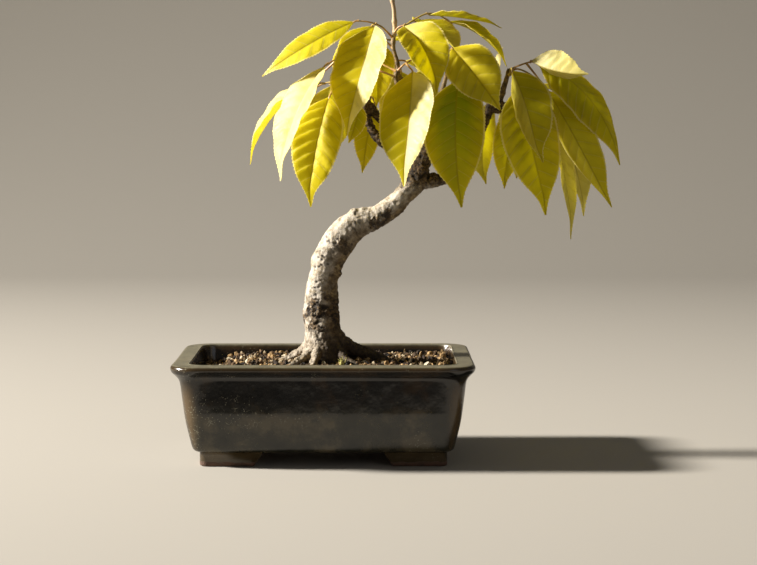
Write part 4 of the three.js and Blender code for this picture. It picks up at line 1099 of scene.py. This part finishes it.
def blade(leaflet, draw):
    """Points, faces and per-point values of one leaflet's blade, a thin closed solid."""
    _, base, tip, width, face_to, bow, twist, fold, turn, tone = leaflet
    base, tip = np.array(base, float), np.array(tip, float)
    length = np.linalg.norm(tip - base)
    axis = (tip - base) / length
    face = np.array(face_to, float)
    face -= axis * face.dot(axis)
    face /= np.linalg.norm(face)
    crest = base + BLADE_CREST * (tip - base) + 2 * bow * length * face
    face = turned(face, axis, math.radians(turn))
    # Rows of points run out from the midrib, three to a tooth, with t from base to tip
    teeth = max(round(length / TOOTH_SPACING), 6)
    t = np.append(((np.arange(teeth)[:, None] + TOOTH_ALONG) / teeth).ravel(), 1)[:, None]
    tooth = np.append(np.tile(TOOTH_OUT, teeth), 0)[:, None]
    tooth = tooth * smoothstep(0.03, 0.12, t) * smoothstep(1, 0.95, t)
    u = np.concatenate([-np.array(BLADE_COLUMNS[:0:-1]), BLADE_COLUMNS])
    side = np.sign(u)
    share = np.abs(u)
    # The midrib bows through its crest, and the rows across it twist more towards the tip
    midrib = (1 - t) ** 2 * base + 2 * t * (1 - t) * crest + t**2 * tip
    along = (1 - t) * (crest - base) + t * (tip - crest)
    along /= np.linalg.norm(along, axis=1)[:, None]
    across = np.cross(along, face)
    across /= np.linalg.norm(across, axis=1)[:, None]
    across = turned(across, along, math.radians(twist) * t)
    up = np.cross(across, along)
    # How far out each point lies, and how far along in steps from vein to vein
    outline = smooth_line(OUTLINE, 6)
    half = width / 2 * np.interp(t ** (0.92 + 0.16 * draw.random()), outline[:, 0], outline[:, 1])
    reach = half * share + TOOTH_DEPTH * tooth * smoothstep(0.93, 1, share)
    run = length * t - VEIN_SLANT * reach - VEIN_CURVE * reach**2 / width
    own_spacing = VEIN_SPACING * (0.9 + 0.2 * draw.random()) * min(1, 0.55 + length / 180)
    phase = run / own_spacing + np.where(u < 0, 0.4, 0.0)
    # The halves fold up, arch, bulge between their veins and wave at the margin
    body = smoothstep(0, 0.1, t) * smoothstep(1, 0.86, t)
    panel = 1 - np.abs(2 * (phase % 1) ** 0.4 - 1) ** 1.8
    quilt = PANEL_RISE * panel * smoothstep(0, 0.3, share) * smoothstep(1.05, 0.8, share) * body
    quilt *= smoothstep(6, 20, half)
    waves = 2.2 + draw.random()
    shift = draw.random(2) * 6.28
    wave = np.sin(6.28 * waves * t + np.where(u < 0, shift[0], shift[1])) * share**2
    wave += 0.5 * np.sin(14.4 * waves * t + shift[1] + u) * share**3
    slope = math.radians(fold)
    arch = math.copysign(BLADE_ARCH, fold) * half * share * (1 - share)
    groove = np.exp(-((reach / 0.7) ** 2))
    lift = reach * math.sin(slope) + arch + quilt + MARGIN_WAVE * half * wave * body
    # The midrib droops at the tip and sways aside, then carries the upper and the under skin
    bend = smoothstep(0.8, 1, t) ** 2
    sway = SPINE_SWAY * length * (draw.random(2) - 0.5)
    aside = (sway[0] * bend + sway[1] * np.sin(math.pi * t)) * across
    spine = midrib - TIP_DROOP * length * bend * face + aside
    middle = spine[:, None, :] + across[:, None, :] * (side * reach * math.cos(slope))[..., None]
    thick = BLADE_THICK / 2 * (1 - 0.3 * share)
    top = middle + up[:, None, :] * (lift - 0.12 * groove * body + thick)[..., None]
    under = middle + up[:, None, :] * (lift - 0.6 * groove * (1.1 - t) - thick)[..., None]
    half_faces = up[:, None, :] - math.tan(slope) * (side[:, None] * across[:, None, :])
    half_faces /= np.linalg.norm(half_faces, axis=-1)[..., None]
    # Halves turned full to the sun get a painted highlight, and green or shaded leaflets do not
    painted_sun_highlight = max(0, 1 - 4 * max(tone, 0)) * smoothstep(0.45, 0.8, half_faces @ SUN)
    # Faces of both skins, and of the margin that closes them
    count = top.shape[0] * top.shape[1]
    grid = np.arange(count).reshape(top.shape[:2])
    quads = np.stack([grid[:-1, :-1], grid[:-1, 1:], grid[1:, 1:], grid[1:, :-1]], -1).reshape(-1, 4)
    rim = np.concatenate([grid[0, :-1], grid[:-1, -1], grid[-1, :0:-1], grid[:0:-1, 0]])
    following = np.roll(rim, -1)
    margin = np.stack([following, rim, rim + count, following + count], -1)
    faces = np.concatenate([quads, quads[:, ::-1] + count, margin])
    # What the material reads: the place on the blade, then a chance tone, the leaflet's own tone, and
    # 1 on the underside
    spot = np.stack(np.broadcast_arrays(length * t, side * reach, half), -1).reshape(-1, 3)
    fading = np.broadcast_to(tone * (1 - 0.7 * smoothstep(0.25, 0.9, t) * (tone > 0)), reach.shape)
    own = np.stack([np.full(count, draw.random()), fading.ravel(), np.zeros(count)], -1)
    return {
        "points": np.concatenate([top.reshape(-1, 3), under.reshape(-1, 3)]),
        "faces": faces,
        "blade": np.concatenate([spot, spot]),
        "vein": np.tile(phase.ravel(), 2),
        "painted_sun_highlight": np.tile(painted_sun_highlight.ravel(), 2),
        "own_tone": np.concatenate([own, own + (0, 0, 1)]),
    }


def ash_leaf(tree):
    """A living ash leaf in autumn: satin above, yellow to olive, with painted shade between the veins
    and along the midrib, a net of fine veins, drawn coarse enough to show, and a painted highlight along
    the thin margin. Halves turned full to the sun are whitened in patches as a painted highlight, and
    pale leaflets are partly painted pale as light. Its underside is paler and dull, and light from
    behind glows through it."""
    where = add(tree, "ShaderNodeAttribute", attribute_name="blade")
    parts = add(tree, "ShaderNodeSeparateXYZ", {0: where.outputs["Vector"]})
    own = add(tree, "ShaderNodeAttribute", attribute_name="own_tone")
    tones = add(tree, "ShaderNodeSeparateXYZ", {0: own.outputs["Vector"]})
    phase = add(tree, "ShaderNodeAttribute", attribute_name="vein").outputs["Fac"]
    place_at = add(tree, "ShaderNodeTexCoord").outputs["Object"]
    off = add(tree, "ShaderNodeMath", {0: parts.outputs[1]}, operation="ABSOLUTE")
    share = add(tree, "ShaderNodeMath", {0: off, 1: parts.outputs[2]}, operation="DIVIDE")
    cloud = add(tree, "ShaderNodeTexNoise", {
        "Vector": place_at, "Scale": 1000 / 26, "Detail": 4.0, "Roughness": 0.55,
    })
    mood = add(tree, "ShaderNodeMath", {
        0: tones.outputs[0], 1: 0.25, 2: cloud,
    }, operation="MULTIPLY_ADD")
    yellow = add(tree, "ShaderNodeValToRGB", {"Fac": mood}, stops=[
        (0.38, "#c8bb12"), (0.6, "#e0d21d"), (0.85, "#f2e52e"),
    ])
    leafy = add(tree, "ShaderNodeMapRange", {"Value": share, "From Min": 0.95, "From Max": 0.4})
    greenness = add(tree, "ShaderNodeMath", {0: tones.outputs[1], 1: leafy}, operation="MULTIPLY")
    # A pale tone paints the leaflet paler, partly as a painted highlight on sunlit leaflets
    paleness_and_painted_light = add(tree, "ShaderNodeMath", {0: tones.outputs[1], 1: -1.0}, operation="MULTIPLY")
    # Painted shade: each panel darkens from one vein towards the next, as the quilting's shade
    past_vein = add(tree, "ShaderNodeMath", {0: phase}, operation="FRACT")
    between = add(tree, "ShaderNodeMapRange", {"Value": past_vein, "From Min": 0.1, "To Max": 0.3})
    to_vein = add(tree, "ShaderNodeMath", {0: phase, 1: 0.5}, operation="PINGPONG")
    vein = add(tree, "ShaderNodeMapRange", {
        "Value": to_vein, "From Min": 0.06, "From Max": 0.015, "To Max": 0.35,
    })
    # Painted shade along the sunken midrib
    midrib_shade = add(tree, "ShaderNodeMapRange", {
        "Value": off, "From Min": 0.95, "From Max": 0.5, "To Max": 0.55,
    })
    # Painted highlight along the margin, where its thin edge catches the light
    rim = add(tree, "ShaderNodeMapRange", {
        "Value": share, "From Min": 0.94, "From Max": 0.975, "To Max": 0.85,
    })
    duller = add(tree, "ShaderNodeMath", {0: tones.outputs[2], 1: 0.35}, operation="MULTIPLY")
    shown = yellow
    for amount, over in (
        (greenness, "#6b930c"), (paleness_and_painted_light, "#efe6a6"), (between, "#b6ab08"), (vein, "#efe58c"),
        (midrib_shade, "#8f7c1c"), (rim, "#fdf2a6"), (duller, "#cfc98a"),
    ):
        shown = add(tree, "ShaderNodeMixRGB", {"Fac": amount, "Color1": shown, "Color2": linear(over)})
    net = add(tree, "ShaderNodeTexVoronoi", {
        "Vector": place_at, "Scale": 1000 / 1.7,
    }, feature="DISTANCE_TO_EDGE")
    cell = add(tree, "ShaderNodeMapRange", {"Value": net, "From Max": 0.25})
    relief = add(tree, "ShaderNodeBump", {"Height": cell, "Strength": 0.3, "Distance": 0.00025})
    patchy = add(tree, "ShaderNodeTexNoise", {"Vector": place_at, "Scale": 1000 / 5, "Detail": 4.0})
    gloss = add(tree, "ShaderNodeMapRange", {"Value": patchy, "To Min": 0.34, "To Max": 0.5})
    satin = add(tree, "ShaderNodeMath", {
        0: tones.outputs[2], 1: 0.25, 2: gloss,
    }, operation="MULTIPLY_ADD")
    # Painted highlight: the halves turned full to the sun are whitened, patchily
    painted_sun_highlight = add(tree, "ShaderNodeAttribute", attribute_name="painted_sun_highlight").outputs["Fac"]
    uneven = add(tree, "ShaderNodeMapRange", {
        "Value": cloud, "From Min": 0.36, "From Max": 0.56, "To Min": 0.4, "To Max": 0.78,
    })
    patchy_sun_highlight = add(tree, "ShaderNodeMath", {0: painted_sun_highlight, 1: uneven}, operation="MULTIPLY")
    skin = add(tree, "ShaderNodeMixRGB", {"Fac": patchy_sun_highlight, "Color1": shown, "Color2": linear("#f4efcb")})
    surface = add(tree, "ShaderNodeBsdfPrincipled", {
        "Base Color": skin, "Roughness": satin, "Normal": relief,
        "Specular IOR Level": 0.25,
    })
    glow = add(tree, "ShaderNodeMixRGB", {"Fac": 0.6, "Color1": shown, "Color2": linear("#fcf400")})
    through = add(tree, "ShaderNodeBsdfTranslucent", {"Color": glow, "Normal": relief})
    return add(tree, "ShaderNodeMixShader", {0: 0.54, 1: surface, 2: through})


def leaf_stalk(tree):
    """The leaf's stalk: smooth, dull gold flushed with pinkish brown, a little glossy."""
    place_at = add(tree, "ShaderNodeTexCoord").outputs["Object"]
    blush = add(tree, "ShaderNodeTexNoise", {"Vector": place_at, "Scale": 1000 / 12, "Detail": 3.0})
    tone = add(tree, "ShaderNodeValToRGB", {"Fac": blush}, stops=[
        (0.35, "#a08c3e"), (0.5, "#b8945c"), (0.66, "#86552f"),
    ])
    return add(tree, "ShaderNodeBsdfPrincipled", {"Base Color": tone, "Roughness": 0.4})


blade_material = new_material("ash_leaf_blade", ash_leaf)
stalk_material = new_material("ash_leaf_stalk", leaf_stalk)
for number, (node, (stalk, leaflets)) in enumerate(LEAVES.items()):
    draw = np.random.default_rng(500 + number)
    main, main_radii = smooth_limb((stalk, np.linspace(*STALK_TAPER, len(stalk)) * STALK_RADIUS), 8)
    main_radii[:len(STALK_FOOT)] *= STALK_FOOT
    lines = [(main, main_radii)]
    for leaflet in leaflets:
        start, base, tip = (np.array(leaflet[i], float) for i in range(3))
        way = [start, (start + base) / 2 + (0, 0, 0.4), base, base + 0.06 * (tip - base)]
        lines.append(smooth_limb((way, LEAFLET_STALK), 5))
    leaf = line_piece(node + "_leaf", lines)
    grow(leaf, tube_tree, {"Sides": 10, "Material": stalk_material})
    blades = [blade(leaflet, draw) for leaflet in leaflets]
    offsets = np.cumsum([0, *(len(made["points"]) for made in blades)])
    faces = np.concatenate([made["faces"] + offset for made, offset in zip(blades, offsets)])
    mesh = bpy.data.meshes.new(node + "_leaf")
    points = np.concatenate([made["points"] for made in blades])
    mesh.from_pydata(place(points).tolist(), [], faces.tolist())
    for name in ("blade", "vein", "painted_sun_highlight", "own_tone"):
        store(mesh, name, np.concatenate([made[name] for made in blades]))
    # Stalks and blades become one mesh, with the second material on the stalks' faces
    both = bmesh.new()
    both.from_mesh(leaf.data)
    for one in both.faces:
        one.material_index = 1
    both.from_mesh(mesh)
    both.to_mesh(mesh)
    both.free()
    leaf.data = mesh
    mesh.materials.append(blade_material)
    mesh.materials.append(stalk_material)
    mesh.shade_smooth()
    mesh.set_sharp_from_angle(angle=math.radians(60))
    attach(leaf, "root")
    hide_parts(node)

# The stage is a plain pale sweep, a floor that curves up behind the plant. It ends a short way before
# the pot, so that the glaze mirrors the dark room there. One warm light stands high on the left, and a
# weak cool one in front. The camera stands where it stood for the photograph.
SWEEP_FRONT = -0.42
SWEEP_BACK = 1.8
SWEEP_BEND = 0.8
SWEEP_TOP = 2.6
SWEEP_SIDE = 3.0
SWEEP_BELOW = 0.0002
LIGHTS_AIM = (0, 0, 0.2)
ROOM_LIGHT = 0.12
LENS = 91.63
EYE = (-0.0212, -1.566, 0.271)
EYE_DIPS = 4.76
EYE_TURNS = -0.18

profile = [(SWEEP_FRONT, 0)]
for turn in np.linspace(0, math.pi / 2, 24):
    profile.append((SWEEP_BACK + SWEEP_BEND * math.sin(turn), SWEEP_BEND * (1 - math.cos(turn))))
profile.append((SWEEP_BACK + SWEEP_BEND, SWEEP_TOP))
sweep_mesh = bpy.data.meshes.new("pale_sweep")
sweep_mesh.from_pydata(
    [(x, y, z - SWEEP_BELOW) for y, z in profile for x in (-SWEEP_SIDE, SWEEP_SIDE)], [],
    [(2 * i, 2 * i + 1, 2 * i + 3, 2 * i + 2) for i in range(len(profile) - 1)],
)
sweep_mesh.shade_smooth()
sweep = bpy.data.objects.new("pale_sweep", sweep_mesh)
bpy.context.scene.collection.objects.link(sweep)


def painted_sweep(tree):
    """Matt pale paint, with no gloss of its own."""
    return add(tree, "ShaderNodeBsdfPrincipled", {"Base Color": linear("#a5a199"), "Roughness": 0.9})


sweep_mesh.materials.append(new_material("matt_pale_paint", painted_sweep))

# Each light: name, place, size, power, spread and colour
LIGHTS = [
    ("key", (-4.72, 0.04, 2.4), 0.68, 165, 76, "#fff8ee"),
    ("fill", (0.9, -1.7, 0.9), 1.2, 2, 180, "#f4f6ff"),
]
for name, stand, size, watts, spread, tint in LIGHTS:
    light = bpy.data.lights.new(name, "AREA")
    light.shape = "DISK"
    light.size = size
    light.energy = watts
    light.spread = math.radians(spread)
    light.color = linear(tint)[:3]
    lamp = bpy.data.objects.new(name, light)
    lamp.location = stand
    lamp.rotation_euler = (Vector(LIGHTS_AIM) - Vector(stand)).to_track_quat("-Z", "Y").to_euler()
    bpy.context.scene.collection.objects.link(lamp)

world = bpy.data.worlds.new("studio")
world.use_nodes = True
world.node_tree.nodes["Background"].inputs["Color"].default_value = linear("#ebe4d8")
world.node_tree.nodes["Background"].inputs["Strength"].default_value = ROOM_LIGHT
bpy.context.scene.world = world
bpy.context.scene.view_settings.view_transform = "Standard"

camera = bpy.data.cameras.new("photograph")
camera.sensor_width = 36
camera.lens = LENS
eye = bpy.data.objects.new("photograph", camera)
eye.location = EYE
eye.rotation_euler = (math.radians(90 - EYE_DIPS), 0, math.radians(EYE_TURNS))
bpy.context.scene.collection.objects.link(eye)
bpy.context.scene.camera = eye
